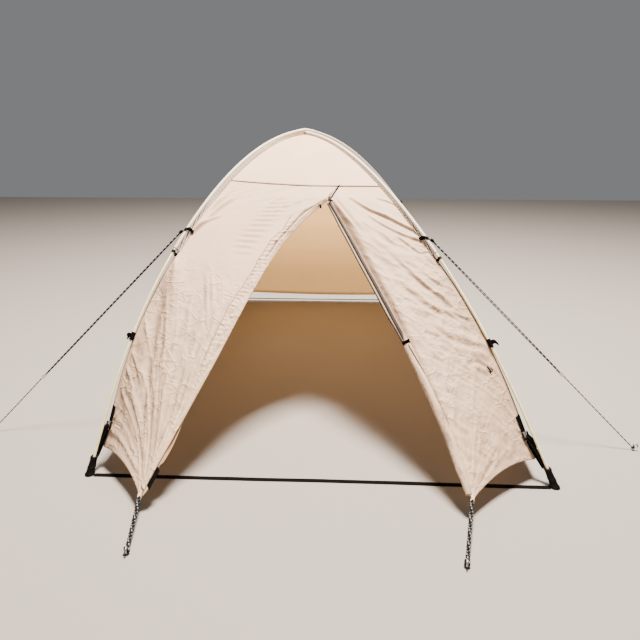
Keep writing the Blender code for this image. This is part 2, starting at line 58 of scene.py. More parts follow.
# Measures of the pitched tent, in metres. Places along a half pole run from 0 at the crown to 1 at the foot.
tent = {
    "width": 1.50,
    "depth": 2.34,
    "height": 1.095,
    "lean": 0.119,          # the crown stands this far to the left
    "endSlope": 66.7,       # degrees, how steeply a bent pole's own curve ends
    "pull": 0.0675,         # the taut cloth holds the pole's shoulder down, as a share of the height
    "pullSkew": 0.0173,
    "poleRadius": 0.00425,
    "poleStep": 0.0056,     # one pole passes this far above the mean curve, the other below
    "dropAt": (0, 0.100, 0.380, 0.640, 0.700, 0.809, 0.870, 0.925, 0.965),
    "drop": (0.0130, 0.0130, 0.0150, 0.0175, 0.0110, 0.0090, 0.0140, 0.0240, 0.0300),
    "crown": 0.020,
    "crossSeam": 0.411,
    "sleeve": (0.040, 0.628),
    "tab": {"left": 0.579, "right": 0.592},
    "hook": {"left": 0.635, "right": 0.641},
    "corner": 0.965,
    "hemLow": 0.973,
}
corners = {"front_left": (-1, -1), "front_right": (1, -1), "back_left": (-1, 1), "back_right": (1, 1)}
upperPoleCorners = ("front_left", "back_right")


# Small helpers, all on whole arrays

def unit(v):
    # v divided by its own length.
    v = np.asarray(v, float)
    return v / np.maximum(np.linalg.norm(v, axis=-1, keepdims=True), 1e-12)


def smoothStep(x, low, high):
    # 3x^2 - 2x^3, where x is the share of the way from low to high.
    x = np.clip((np.asarray(x, float) - low) / (high - low), 0, 1)
    return x * x * (3 - 2 * x)


def window(x, rise=None, fall=None, depth=1.0):
    # Grows from 0 to 1 between the two places of rise, then loses depth between those of fall.
    grown = smoothStep(x, *rise) if rise else 1.0
    return grown * (1 - depth * smoothStep(x, *fall)) if fall else grown


def hump(x, middle, width):
    # exp(-((x - middle) / width)^2)
    return np.exp(-((x - middle) / width) ** 2)


def around(turn, first, second):
    # The directions at angles turn from the first direction towards the second.
    return np.cos(turn)[:, None] * first + np.sin(turn)[:, None] * second


def moved(place, *steps):
    # Places carried along directions, each step given as (direction, distance).
    for direction, distance in steps:
        place = place + direction * np.asarray(distance)[..., None]
    return place


def lattice(rows, cols, down=(0, 1), across=(0, 1)):
    # The shares down and across at each point of an even grid.
    return np.meshgrid(np.linspace(*down, rows), np.linspace(*across, cols), indexing="ij")


def spread(values, count):
    # Values at even steps, blended to count even steps.
    return np.interp(np.linspace(0, 1, count), np.linspace(0, 1, len(values)), values)


def bothWays(scale):
    # The same factor sideways and outwards.
    return np.stack([scale, scale], -1)


def smoothPath(points, count):
    # Catmull-Rom curve: between two points it is a cubic whose end slopes are half the step between
    # the points on either side of each.
    p = np.asarray(points, float)
    p = np.concatenate([[2 * p[0] - p[1]], p, [2 * p[-1] - p[-2]]])
    place = np.linspace(0, len(p) - 3, count)
    i = np.minimum(place.astype(int), len(p) - 4)
    t = (place - i)[:, None]
    a, b, c, d = p[i], p[i + 1], p[i + 2], p[i + 3]
    square, cube = 2 * a - 5 * b + 4 * c - d, 3 * b - a - 3 * c + d
    return 0.5 * (2 * b + (c - a) * t + square * t ** 2 + cube * t ** 3)


def lengthAlong(path):
    # The length of a path up to each of its points.
    return np.concatenate([[0], np.cumsum(np.linalg.norm(np.diff(path, axis=0), axis=1))])


def frameAlong(path, up=(0.0, 0.0, 1.0)):
    # Directions at each point of a path: sideways (level with respect to up) and outwards.
    forwards = unit(np.gradient(path, axis=0))
    sideways = unit(np.cross(np.broadcast_to(up, forwards.shape), forwards))
    return sideways, np.cross(forwards, sideways)


def camel(node):
    # seam_tape_left becomes seamTapeLeft.
    first, *others = node.split("_")
    return first + "".join(part.capitalize() for part in others)


# The bent poles and the cloth's seams under them

def bentRodProfile(endSlope, count=300):
    # Half of a thin rod bent by a push on its two ends. With k = sin(endSlope / 2) and p from 0 to 90
    # degrees, the slope is 2 arcsin(k sin p) and the arc length grows as 1 / sqrt(1 - (k sin p)^2).
    k = np.sin(np.radians(endSlope) / 2)
    p = np.linspace(0, np.pi / 2, count)
    slope = 2 * np.arcsin(k * np.sin(p))
    arc = 1 / np.sqrt(1 - (k * np.sin(p)) ** 2)
    step = np.diff(p)
    run = np.concatenate([[0], np.cumsum((np.cos(slope) * arc)[:-1] * step)])
    fall = np.concatenate([[0], np.cumsum((np.sin(slope) * arc)[1:] * step)])
    return run / run[-1], 1 - fall / fall[-1]


rodRun, rodHeight = bentRodProfile(tent["endSlope"])
rodHeight = rodHeight - tent["pull"] * np.sin(np.pi * rodRun) + tent["pullSkew"] * np.sin(2 * np.pi * rodRun)


def meanCurve(corner, u):
    # The half pole as a mean curve: its plan runs straight to the foot, its height follows the bent rod.
    sideX, sideY = corners[corner]
    u = np.asarray(u, float)
    share = np.interp(u, rodRun, rodHeight)
    x = sideX * tent["width"] / 2 * u - tent["lean"] * share
    return np.stack([x, sideY * tent["depth"] / 2 * u, tent["height"] * share], -1)


def poleStep(corner):
    # One pole runs above the mean curve and the other as far below it.
    return tent["poleStep"] if corner in upperPoleCorners else -tent["poleStep"]


def poleMiddle(corner, u):
    # The mean curve, raised or lowered by the step in proportion to its height.
    points = meanCurve(corner, u)
    points[..., 2] += poleStep(corner) * np.interp(u, rodRun, rodHeight)
    return points


def placeAtHeight(corner, z):
    # The place along a half pole where its middle is z above the ground.
    heights = (tent["height"] + poleStep(corner)) * rodHeight
    return np.interp(z, heights[::-1], rodRun[::-1])


def poleFrame(corner, u):
    # Along the half pole, level across it, and outwards from the tent.
    u = np.asarray(u, float)
    along = unit(meanCurve(corner, np.clip(u + 0.01, 0, 1)) - meanCurve(corner, np.clip(u - 0.01, 0, 1)))
    across = unit(np.cross(np.broadcast_to([0.0, 0.0, 1.0], along.shape), along))
    return along, across, np.cross(along, across)


def seamLine(corner, u):
    # The cloth's seam hangs under the half pole: close to it where the lower wrap draws it up, furthest
    # off towards the foot.
    drop = np.interp(u, tent["dropAt"], tent["drop"])
    return moved(meanCurve(corner, u), (poleFrame(corner, u)[2], -drop))


def towardsSide(direction, corner):
    # The direction or its opposite, whichever points to the corner's own side.
    return direction * (1 if direction[0] * corners[corner][0] > 0 else -1)


# Noise and relief of cloth, on whole arrays of places in metres

def valueNoise(x, y, seed):
    # Random numbers from -1 to 1 on a unit lattice, blended between its points with 3t^2 - 2t^3.
    table = np.random.default_rng(seed).random((128, 128)) * 2 - 1
    cellX, cellY = np.floor(x).astype(int), np.floor(y).astype(int)
    tx, ty = smoothStep(x - cellX, 0, 1), smoothStep(y - cellY, 0, 1)
    pick = lambda i, j: table[(cellX + i) % 128, (cellY + j) % 128]
    low = pick(0, 0) * (1 - tx) + pick(1, 0) * tx
    high = pick(0, 1) * (1 - tx) + pick(1, 1) * tx
    return low * (1 - ty) + high * ty


def lineNoise(x, seed):
    # valueNoise along one direction.
    return valueNoise(x, x * 0, seed)


def creaseNoise(x, y, seed):
    # Sharp crests where smooth noise crosses zero: 1 at a crest, falling to 0 between them.
    first = 1 - np.abs(valueNoise(x, y, seed))
    second = 1 - np.abs(valueNoise(x * 2.1 + 7, y * 2.1 + 3, seed + 1))
    return first ** 3 * 0.7 + second ** 3 * 0.3


def crumpleRelief(x, y, cell, seed):
    # Facets of crushed cloth: each place takes the gap between its nearest and second nearest
    # scattered point, so that creases run half way between the points.
    table = np.random.default_rng(seed).random((64, 64, 2))
    px, py = x / cell, y / cell
    cellX, cellY = np.floor(px).astype(int), np.floor(py).astype(int)
    nearest, second = np.full(px.shape, 9.0), np.full(px.shape, 9.0)
    for i in (-1, 0, 1):
        for j in (-1, 0, 1):
            jitter = table[(cellX + i) % 64, (cellY + j) % 64]
            gap = np.hypot(cellX + i + jitter[..., 0] - px, cellY + j + jitter[..., 1] - py)
            second = np.where(gap < nearest, nearest, np.minimum(second, gap))
            nearest = np.minimum(nearest, gap)
    return np.clip(second - nearest, 0, 1)


def foldRelief(x, y, line, width, height, ends):
    # One fold along a smooth line of places: exp(-(d / width)^2) across it, with a shallow trough on
    # one side, and a height that tapers to the given shares at its two ends.
    p = smoothPath(line, 13)
    start, step = p[:-1], np.diff(p, axis=0)
    rel = np.stack([x, y], -1).reshape(-1, 1, 2) - start
    share = np.clip((rel * step).sum(-1) / (step ** 2).sum(-1), 0, 1)
    off = rel - share[..., None] * step
    distance = np.hypot(off[..., 0], off[..., 1])
    best = distance.argmin(1)
    row = np.arange(len(best))
    side = np.sign(step[best, 0] * rel[row, best, 1] - step[best, 1] * rel[row, best, 0])
    d = (distance[row, best] * side / width).reshape(x.shape)
    along = ((best + share[row, best]) / len(step)).reshape(x.shape)
    taper = np.where(along < 0.5, ends[0], ends[1])
    taper = taper + (1 - taper) * np.sin(np.pi * along)
    return height * taper * (hump(d, 0, 1) - 0.65 * hump(d, 1.7, 0.9))


def streakRelief(x, y, slant, spacing, length, seed):
    # Long thin creases side by side, leaning by an angle from the cloth's own down direction: sharp
    # noise that changes fast across them and slowly along them, and wanders a little.
    turn = np.radians(slant)
    across, along = x * np.cos(turn) - y * np.sin(turn), x * np.sin(turn) + y * np.cos(turn)
    across = across + 0.35 * spacing * valueNoise(x / (3 * spacing), y / (3 * spacing), seed + 3)
    return creaseNoise(across / spacing, along / length, seed) - 0.45


def crackleRelief(x, y, cell, seed):
    # The net of fine sharp ridges that is left in cloth that was packed: high along the lines half
    # way between scattered points, in cells that are bent a little.
    bentX, bentY = (v + 0.25 * cell * valueNoise(x / cell, y / cell, seed + k) for v, k in ((x, 1), (y, 2)))
    return 1 - smoothStep(crumpleRelief(bentX, bentY, cell, seed), 0.0, 0.16)


def fanRelief(x, y, centre, spokes, reach, height, seed):
    # Creases that fan out of one place: sharp noise along the angle, slowly changing with the
    # distance, strongest between the two distances of reach.
    r = np.hypot(x - centre[0], y - centre[1])
    angle = np.arctan2(y - centre[1], x - centre[0])
    strength = window(r, (0.0, reach[0]), (reach[1] * 0.5, reach[1]))
    return height * strength * (creaseNoise(angle * spokes + 11, r * 4, seed) - 0.4)


# Meshes

def surfaceNormals(grid):
    # The cross product of the grid's two directions, turned away from the tent's inside.
    normal = unit(np.cross(np.gradient(grid, axis=0), np.gradient(grid, axis=1)))
    inside = np.array([-tent["lean"] / 2, 0.0, 0.25])
    outwards = (normal * (grid - inside)).sum(-1).mean() >= 0
    return normal if outwards else -normal


def gridFaces(rows, cols, loopAcross=False):
    # One face for each cell of a grid, whose rows close to rings where asked.
    index = np.arange(rows * cols).reshape(rows, cols)
    if loopAcross:
        index = np.concatenate([index, index[:, :1]], 1)
    return np.stack([index[:-1, :-1], index[:-1, 1:], index[1:, 1:], index[1:, :-1]], -1).reshape(-1, 4)


def newObject(name, points, faces, uv=None, facet=60):
    # facet is the angle in degrees past which an edge stays sharp.
    mesh = bpy.data.meshes.new(name)
    points = np.asarray(points, float).reshape(-1, 3) + layoutOrigin
    mesh.from_pydata(points.tolist(), [], faces)
    mesh.shade_smooth()
    mesh.set_sharp_from_angle(angle=np.radians(facet))
    if uv is not None:
        corner = np.zeros(len(mesh.loops), np.int32)
        mesh.loops.foreach_get("vertex_index", corner)
        layer = mesh.uv_layers.new(name="cut")
        layer.data.foreach_set("uv", np.asarray(uv, np.float32).reshape(-1, 2)[corner].ravel())
    obj = bpy.data.objects.new(name, mesh)
    bpy.context.scene.collection.objects.link(obj)
    return obj


def finishPiece(obj, materials, node=None):
    # What the piece is made of names its slot; node is the CAD node that it takes the place of.
    for material in materials:
        obj.data.materials.append(material)
    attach(obj, "root")
    if node:
        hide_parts(node)
    return obj


def hollowness(grid, reach=0.013):
    # How deep each place lies in a crease, 0 to 1: along the outward normal, the middle of the
    # cloth within reach of it less the place itself, over 2 mm. The cloth takes it as painted shade.
    middle = grid
    for axis in (0, 1):
        step = np.linalg.norm(np.diff(grid, axis=axis), axis=-1).mean()
        n = max(1, int(round(reach / step)))
        edges = [(n, n) if a == axis else (0, 0) for a in range(3)]
        wide = np.cumsum(np.pad(middle, edges, mode="reflect", reflect_type="odd"), axis=axis)
        wide = np.concatenate([np.zeros_like(np.take(wide, [0], axis=axis)), wide], axis=axis)
        size = grid.shape[axis]
        low, high = (np.take(wide, np.arange(size) + start, axis=axis) for start in (0, 2 * n + 1))
        middle = (high - low) / (2 * n + 1)
    return np.clip(((middle - grid) * surfaceNormals(grid)).sum(-1) / 0.0020, 0, 1)


def softened(values, passes=2):
    # Each value mixed with its neighbours by 1, 2, 1, along both directions.
    for _ in range(passes):
        wide = np.pad(values, 1, mode="edge")
        wide = wide[:-2] + 2 * wide[1:-1] + wide[2:]
        values = (wide[:, :-2] + 2 * wide[:, 1:-1] + wide[:, 2:]) / 16
    return values


def pointValues(obj, name, values):
    # One number for each point, which a material reads by its name.
    layer = obj.data.attributes.new(name, "FLOAT", "POINT")
    layer.data.foreach_set("value", np.asarray(values, np.float32).ravel())


def metricPlaces(grid):
    # Each point's distance in metres across its row from the row's middle, and down from the top row.
    across = np.linalg.norm(np.diff(grid, axis=1), axis=-1)
    down = np.linalg.norm(np.diff(grid, axis=0), axis=-1).mean(1)
    x = np.concatenate([np.zeros((len(grid), 1)), np.cumsum(across, 1)], 1)
    y = np.concatenate([[0], np.cumsum(down)])[:, None] + np.zeros_like(x)
    return x - x[:, -1:] / 2, y


def edgeGaps(x, y, sides=("left", "right", "top", "bottom")):
    # How far each place lies from the nearest of the named edges.
    gaps = {"left": x - x[:, :1], "right": x[:, -1:] - x, "top": y, "bottom": y[-1:] - y}
    return np.minimum.reduce([gaps[side] for side in sides])


def clothSheet(name, grid, cut, gap, materials, thickness, node=None, hollow=None,
               centre=None):
    # A sheet through a grid of points, thickened towards the tent's inside or towards the line of
    # centre.
    faces = gridFaces(*grid.shape[:2])
    a, b, c = (grid.reshape(-1, 3)[faces[:, i]] for i in (0, 1, 2))
    away = surfaceNormals(grid).reshape(-1, 3)[faces[:, 0]]
    if centre is not None:
        away = (a + c) / 2 - centre.reshape(-1, 3)[faces[:, 0]]
    turn = (np.cross(b - a, c - a) * away).sum() < 0
    obj = newObject(name, grid, (faces[:, ::-1] if turn else faces).tolist(), np.stack(cut, -1))
    pointValues(obj, "edgeDistance", gap)
    # Painted shade for the cloth's colour: as given, or else from how deep it lies in its creases.
    pointValues(obj, "hollow", 0.85 * hollowness(grid) if hollow is None else hollow)
    solid = obj.modifiers.new("thickness", "SOLIDIFY")
    solid.thickness = thickness
    solid.offset = -1
    solid.use_even_offset = False
    solid.material_offset = len(materials) - 1
    solid.material_offset_rim = 0
    finishPiece(obj, materials, node)
    return obj


def closedShape(grid, uv):
    # A grid whose rows are rings, with a face on each end.
    rows, cols = grid.shape[:2]
    faces = gridFaces(rows, cols, loopAcross=True).tolist()
    faces += [list(range(cols)), list(range((rows - 1) * cols, rows * cols))]
    return grid.reshape(-1, 3), faces, uv.reshape(-1, 2)


def sweptShape(path, across, out, profile, scale=None):
    # A profile, as points (sideways, outwards), carried along a path. scale has two factors a station.
    profile = np.asarray(profile, float)
    if scale is None:
        scale = np.ones((len(path), 2))
    side = profile[None, :, 0] * scale[:, :1]
    rise = profile[None, :, 1] * scale[:, 1:]
    across, out = (np.broadcast_to(direction, path.shape)[:, None] for direction in (across, out))
    grid = path[:, None] + side[..., None] * across + rise[..., None] * out
    uv = np.broadcast_arrays(np.linspace(0, 1, len(profile)) * np.abs(profile).max() * 2,
                             lengthAlong(path)[:, None])
    return closedShape(grid, np.stack(uv, -1))


def tube(path, profile, up=(0.0, 0.0, 1.0), scale=None):
    # A profile carried along a path, with its sideways direction level with respect to up.
    across, out = frameAlong(path, up)
    return sweptShape(path, across, out, profile, scale)


def hardPiece(name, shapes, material, node=None):
    # Shapes joined into one mesh, with their faces turned outwards.
    points, faces, uvs = zip(*shapes)
    base = [0, *np.cumsum([len(p) for p in points]).tolist()]
    joined = [[i + start for i in face] for start, some in zip(base, faces) for face in some]
    obj = newObject(name, np.concatenate(points), joined, np.concatenate(uvs), 35)
    work = bmesh.new()
    work.from_mesh(obj.data)
    bmesh.ops.remove_doubles(work, verts=work.verts, dist=1e-6)
    bmesh.ops.recalc_face_normals(work, faces=work.faces)
    work.to_mesh(obj.data)
    work.free()
    return finishPiece(obj, [material], node)


def nodePiece(node, shapes, material):
    # A piece named for the one CAD node that it takes the place of.
    return hardPiece(camel(node), shapes, material, node)


def roundProfile(radius, count=10, flat=1.0):
    # A circle, made flatter outwards by the factor flat.
    turn = np.linspace(0, 2 * np.pi, count, endpoint=False)
    return np.stack([radius * np.cos(turn), radius * flat * np.sin(turn)], -1)


def webProfile(halfWidth, halfThick, soft=0.6):
    # A flat band with rounded sides, as a superellipse of power 6.
    turn = np.linspace(0, 2 * np.pi, 20, endpoint=False) + np.pi / 20
    c, s = np.cos(turn), np.sin(turn)
    r = (np.abs(c) ** 6 + np.abs(s) ** 6) ** (-1 / 6)
    return np.stack([halfWidth * r * c, halfThick * (r * s * (1 - soft) + s * soft * 1.1)], -1)


def flatBand(path, across, out, half, thick, soft=0.6, scale=None):
    # Webbing or tape along a path whose flat face looks in the direction out.
    return sweptShape(path, across, out, webProfile(half, thick, soft), scale)


def band(points, up, halfWidth, halfThick, count, widths=(1, 1)):
    # Webbing along a smooth path, as a shape. up is the side that its flat face looks towards.
    scale = np.stack([spread(widths, count), np.ones(count)], -1)
    return tube(smoothPath(points, count), webProfile(halfWidth, halfThick), up, scale)


def cord(points, radius, count, sides=8):
    # A round cord along a smooth path.
    return tube(smoothPath(points, count), roundProfile(radius, sides), (0.3, 0.2, 1.0))


def blockShape(middle, axes, half, rounding=0.25):
    # A rounded block: a box's outline carried through a few stations that shrink at the two ends.
    place = np.array([-1, -0.93, -0.75, 0.75, 0.93, 1])
    shrink = 1 - rounding * np.array([1, 0.35, 0, 0, 0.35, 1])
    along, across, out = axes
    return flatBand(middle + place[:, None] * half[0] * along, across, out, *half[1:], 0.0, bothWays(shrink))


# Materials. A source is a node with the name of one of its outputs.


def linear(hexColour):
    # sRGB hex to linear light.
    c = np.array([int(hexColour[i:i + 2], 16) for i in (0, 2, 4)]) / 255
    return (*np.where(c <= 0.04045, c / 12.92, ((c + 0.055) / 1.055) ** 2.4), 1.0)


def link(tree, source, node, key):
    tree.links.new(source[0].outputs[source[1]], node.inputs[key])


def addNode(tree, kind, output, settings=None, inputs=None):
    # inputs holds values, or sources to link from. Gives back the node's own source.
    node = tree.nodes.new("ShaderNode" + kind)
    for key, value in (settings or {}).items():
        setattr(node, key, value)
    for key, value in (inputs or {}).items():
        if isinstance(value, tuple) and isinstance(value[0], bpy.types.Node):
            link(tree, value, node, key)
        else:
            node.inputs[key].default_value = value
    return node, output


def newMaterial(name, roughness, metallic=0.0, specular=0.5):
    # A Principled material.
    material = bpy.data.materials.new(name)
    material.use_nodes = True
    shader = material.node_tree.nodes["Principled BSDF"]
    for key, value in (("Roughness", roughness), ("Metallic", metallic), ("Specular IOR Level", specular)):
        shader.inputs[key].default_value = value
    return material, material.node_tree, shader


def ramp(tree, source, stops):
    # The first colour up to its place in the source's values, blended to the second at its own.
    node, output = addNode(tree, "ValToRGB", "Color", inputs={"Fac": source})
    (first, firstColour), (last, lastColour) = stops
    for element, place, colour in zip(node.color_ramp.elements, (first, last), (firstColour, lastColour)):
        element.position, element.color = place, colour
    return node, output


def attribute(tree, name):
    # The numbers that pointValues stored under the name.
    return addNode(tree, "Attribute", "Fac", {"attribute_name": name})


def cutPlace(tree):
    # The place on the flat cloth or webbing, in metres.
    return addNode(tree, "UVMap", "UV", {"uv_map": "cut"})


def noise(tree, place, scale, detail, output="Fac"):
    # Cloudy noise with about scale cells in a metre.
    return addNode(tree, "TexNoise", output, None, {"Vector": place, "Scale": scale, "Detail": detail})


def bands(tree, place, scale, direction, distortion=0.0):
    # Waves side by side, 0.314159 / scale metres apart.
    return addNode(tree, "TexWave", "Fac", {"wave_type": "BANDS", "bands_direction": direction},
                   {"Vector": place, "Scale": scale, "Distortion": distortion})


def creaseNet(tree, place, scale, width):
    # Lines between scattered points: 1 on a line, 0 from width away.
    net = addNode(tree, "TexVoronoi", "Distance", {"feature": "DISTANCE_TO_EDGE"},
                  {"Vector": place, "Scale": scale})
    return ramp(tree, net, [(0.0, white), (width, black)])


def product(tree, first, second):
    # first * second
    return addNode(tree, "Math", "Value", {"operation": "MULTIPLY"}, {0: first, 1: second})


def sumOf(tree, first, factor, second):
    # first * factor + second
    return addNode(tree, "Math", "Value", {"operation": "MULTIPLY_ADD"}, {0: first, 1: factor, 2: second})


def bumpOf(tree, height, distance, strength):
    # Tilts the surface as a height of so many times distance would.
    return addNode(tree, "Bump", "Normal", None,
                   {"Height": height, "Distance": distance, "Strength": strength})


def mixOf(tree, share, first, second):
    # The first where share is 0, the second where it is 1.
    return addNode(tree, "MixRGB", "Color", None, {"Fac": share, "Color1": first, "Color2": second})


black, white = (0, 0, 0, 1), (1, 1, 1, 1)
clothLook = {
    "outer": "DCC2A7",
    "outerShade": "D1B699",
    # The deep colours are painted shade, mixed in where the cloth lies in a crease or in shade.
    "outerDeep": "957F6B",      # in the bottom of a crease
    # The inner side is warmer than the outer: painted glow of the light that comes through the cloth.
    "inner": "EED9B2",
    "innerShade": "E9D1A8",
    "innerDeep": "C9AA82",
    "glow": "EFE3D2",           # light that has come through the cloth
    # backGlow: the back wall's light through the cloth, warmer than the rest, a painted glow.
    "backGlow": "F6DFB6",
    "sleeve": "EAE3D3",
    "sleeveShade": "DCD2C6",
    # Near black painted shade in the sleeve's pleats and on its legs, which also draws its dark stitched
    # lines.
    "sleeveDeep": "251F23",
    "threadMm": 2.2,            # real taffeta has 0.15 mm threads; drawn coarser so that the weave shows
    "creaseNets": ((21.0, 0.10), (43.0, 0.13)),     # cells in a metre, width of a crease in cells
    "crisp": 5.5,               # how much stronger the nets are where the cloth is crumpled
    "seamReach": 0.011,         # metres over which the cloth rises towards its seam
    "bump": (0.0012, 0.35),     # distance and strength
}


def polyesterTaffeta(name, look, roughness, through, glow):
    # Coated polyester taffeta: plain woven, a little papery. It gives the eye a dull even sheen, two
    # nets of crisp creases in patches where it is crumpled, and a glow where light comes through it.
    material, tree, shader = newMaterial(name, roughness)
    place, hollow = cutPlace(tree), attribute(tree, "hollow")
    base, shade, deep = (linear(clothLook[look + part]) for part in ("", "Shade", "Deep"))
    # Painted shade: the colour turns towards the deep colour where the cloth's shade value is high.
    tone = mixOf(tree, hollow, ramp(tree, noise(tree, place, 6.0, 5.0), [(0.30, shade), (0.70, base)]), deep)
    warp, weft = (bands(tree, place, 314.159 / clothLook["threadMm"], way) for way in "XY")
    sway = noise(tree, place, 11.0, 2.0, "Color")
    bent = addNode(tree, "VectorMath", "Vector", {"operation": "MULTIPLY_ADD"},
                   {0: sway, 1: (0.050, 0.050, 0.0), 2: place})
    coarse, fine = (creaseNet(tree, bent, *net) for net in clothLook["creaseNets"])
    patches = ramp(tree, noise(tree, place, 14.0, 1.0), [(0.42, black), (0.58, white)])
    strength = sumOf(tree, product(tree, attribute(tree, "crumpled"), patches), clothLook["crisp"], 0.30)
    seam = addNode(tree, "MapRange", "Result", None, {
        "Value": attribute(tree, "edgeDistance"), "From Max": clothLook["seamReach"],
        "To Min": 1.0, "To Max": 0.0})
    relief = sumOf(tree, product(tree, warp, weft), 0.10, noise(tree, place, 90.0, 4.0))
    relief = sumOf(tree, product(tree, sumOf(tree, fine, 0.55, coarse), strength), 1.0, relief)
    bump = bumpOf(tree, sumOf(tree, seam, 0.20, relief), *clothLook["bump"])
    link(tree, tone, shader, "Base Color")
    link(tree, bump, shader, "Normal")
    # The light that comes through the cloth gets the same painted shade.
    lit = mixOf(tree, hollow, linear(clothLook[glow]), deep)
    glowing = addNode(tree, "BsdfTranslucent", "BSDF", None, {"Color": lit, "Normal": bump})
    both = addNode(tree, "MixShader", "Shader", None, {"Fac": through, 1: (shader, "BSDF"), 2: glowing})
    link(tree, both, tree.nodes["Material Output"], "Surface")
    return material


def patterned(name, roughness, scale, stops, bump=None, specular=0.5, way="Y", sway=0.0, detail=None):
    # Two colours by bands over the piece's own length, or by noise over the object where detail is given.
    material, tree, shader = newMaterial(name, roughness, specular=specular)
    if detail is None:
        source = bands(tree, cutPlace(tree), scale, way, sway)
    else:
        source = noise(tree, addNode(tree, "TexCoord", "Object"), scale, detail)
    colours = ramp(tree, source, [(place, linear(colour)) for place, colour in stops])
    link(tree, colours, shader, "Base Color")
    if bump:
        link(tree, bumpOf(tree, source, *bump), shader, "Normal")
    return material


def bareMetal(name, colour, roughness):
    # Bare light alloy or plated wire, drawn: bright, with fine scratches that soften its highlight.
    material, tree, shader = newMaterial(name, roughness, 0.9)
    wear = noise(tree, addNode(tree, "TexCoord", "Object"), 300.0, 6.0)
    rough = addNode(tree, "MapRange", "Result", None, {
        "Value": wear, "To Min": roughness - 0.08, "To Max": roughness + 0.12})
    link(tree, rough, shader, "Roughness")
    shader.inputs["Base Color"].default_value = linear(colour)
    return material


taffetaOuter = polyesterTaffeta("taffetaOuterSide", "outer", 0.62, 0.24, "glow")
taffetaInner = polyesterTaffeta("taffetaInnerSide", "inner", 0.70, 0.72, "glow")
# The back wall's cloth is a lit copy of the same taffeta: it lets more light through, in the warmer backGlow
# colour, as painted glow from behind.
taffetaBack = polyesterTaffeta("taffetaBackOuterSide", "outer", 0.62, 0.52, "backGlow")
taffetaBackInner = polyesterTaffeta("taffetaBackInnerSide", "inner", 0.70, 0.92, "backGlow")
taffetaSleeve = polyesterTaffeta("taffetaSleeve", "sleeve", 0.60, 0.22, "sleeve")
bothSides = [taffetaOuter, taffetaInner]
# Black nylon webbing, woven: matt, with 2 mm ribs across the band that catch a little light
webbing = patterned("wovenNylonWebbing", 0.9, 157.0, [(0.0, "020203"), (1.0, "0B0B0C")],
                    (0.0006, 0.6), 0.05, sway=0.6)
# Black acetal, injection moulded: smooth, with soft highlights and a faint sparked grain. Its grey
# copy is painted highlight, for light caught on the ridges of a ladder lock's bars.
acetal, acetalPaintedHighlight = (
    patterned(name, 0.55, 900.0, [(0.3, dark), (0.7, light)], (0.0002, 0.4), 0.12, detail=2.0)
    for name, dark, light in (("mouldedAcetal", "020202", "070708"), ("acetalPaintedHighlight", "4A4C4E", "77797A")))
# Aluminium tube with an ivory coat: even, half glossy, with faint marks along it from being packed
ivoryPole = patterned("powderCoatedAluminium", 0.35, 60.0, [(0.35, "DCD39C"), (0.65, "F0EABB")],
                      detail=6.0)
# Nylon zip coil, dyed brown: matt, with fine ribs, 2 mm apart where real teeth are 1.2 mm
coilPlastic = patterned("dyedNylonCoil", 0.6, 157.0, [(0.2, "15100D"), (0.8, "2B211A")])
# Braided polyester cords with a bright tracer: black, with pale flecks 9 mm and 7 mm apart
guyCord, doorCordBraid = (
    patterned(name, 0.85, 314.159 / pitch, stops, (0.0004, 0.5), 0.2, "DIAGONAL", 0.4)
    for name, pitch, stops in (("braidedGuyCord", 9.0, [(0.74, "26282A"), (0.84, "8F938D")]),
                               ("braidedDoorCord", 7.0, [(0.86, "0C0D0F"), (0.96, "85898B")])))
# Folded polyester binding and seam thread: matt, darker than the cloth, with 3 mm stitches
ridgeBinding, seamBinding = (
    patterned(name, 0.8, 105.0, [(0.2, dark), (0.8, light)], (0.0005, 0.5))
    for name, dark, light in (("ridgeBinding", "7C6C5F", "A39484"), ("seamThread", "3B342F", "71645A")))
runnerAlloy = bareMetal("anodisedAlloyRunner", "EDEFF1", 0.55)
pegWire = bareMetal("platedPegWire", "9A9C9E", 0.40)
print("materials made")


# The stitched tapes over the four ridges: half width and half thickness
ridgeTape = (0.0020, 0.0007)


def makeRidgeTape(corner):
    # A flat tape just over the seam, from the crown to the corner.
    u = np.linspace(tent["crown"] + 0.01, tent["corner"] - 0.001, 220)
    _, across, out = poleFrame(corner, u)
    shape = flatBand(seamLine(corner, u) + out * 0.0003, across, out, *ridgeTape, 0.2)
    return hardPiece(camel("seam_tape_" + corner), [shape], ridgeBinding)


ridgeTapes = {corner: makeRidgeTape(corner) for corner in corners}


# Side and back walls
wall = {
    "thickness": 0.0007,
    "edgeGap": 0.0006,      # each panel stops this far short of its seam
    "crease": 0.0026,       # height of the long creases
    "crumple": 0.0010,
    "sag": 0.010,
    "fan": (9, (0.06, 0.32), 0.0032),
    "heldAt": (0.66, 0.83),     # creases fan out of the hook's place and the wrap's, down the edge
}


def straightRow(cornerA, cornerB, u, share):
    # Straight lines between two seams at equal places, stopped a little short of each.
    a, b = seamLine(cornerA, u), seamLine(cornerB, u)
    ruling = unit(b - a) * wall["edgeGap"]
    a, b = a + ruling, b - ruling
    return a * (1 - share[..., None]) + b * share[..., None]


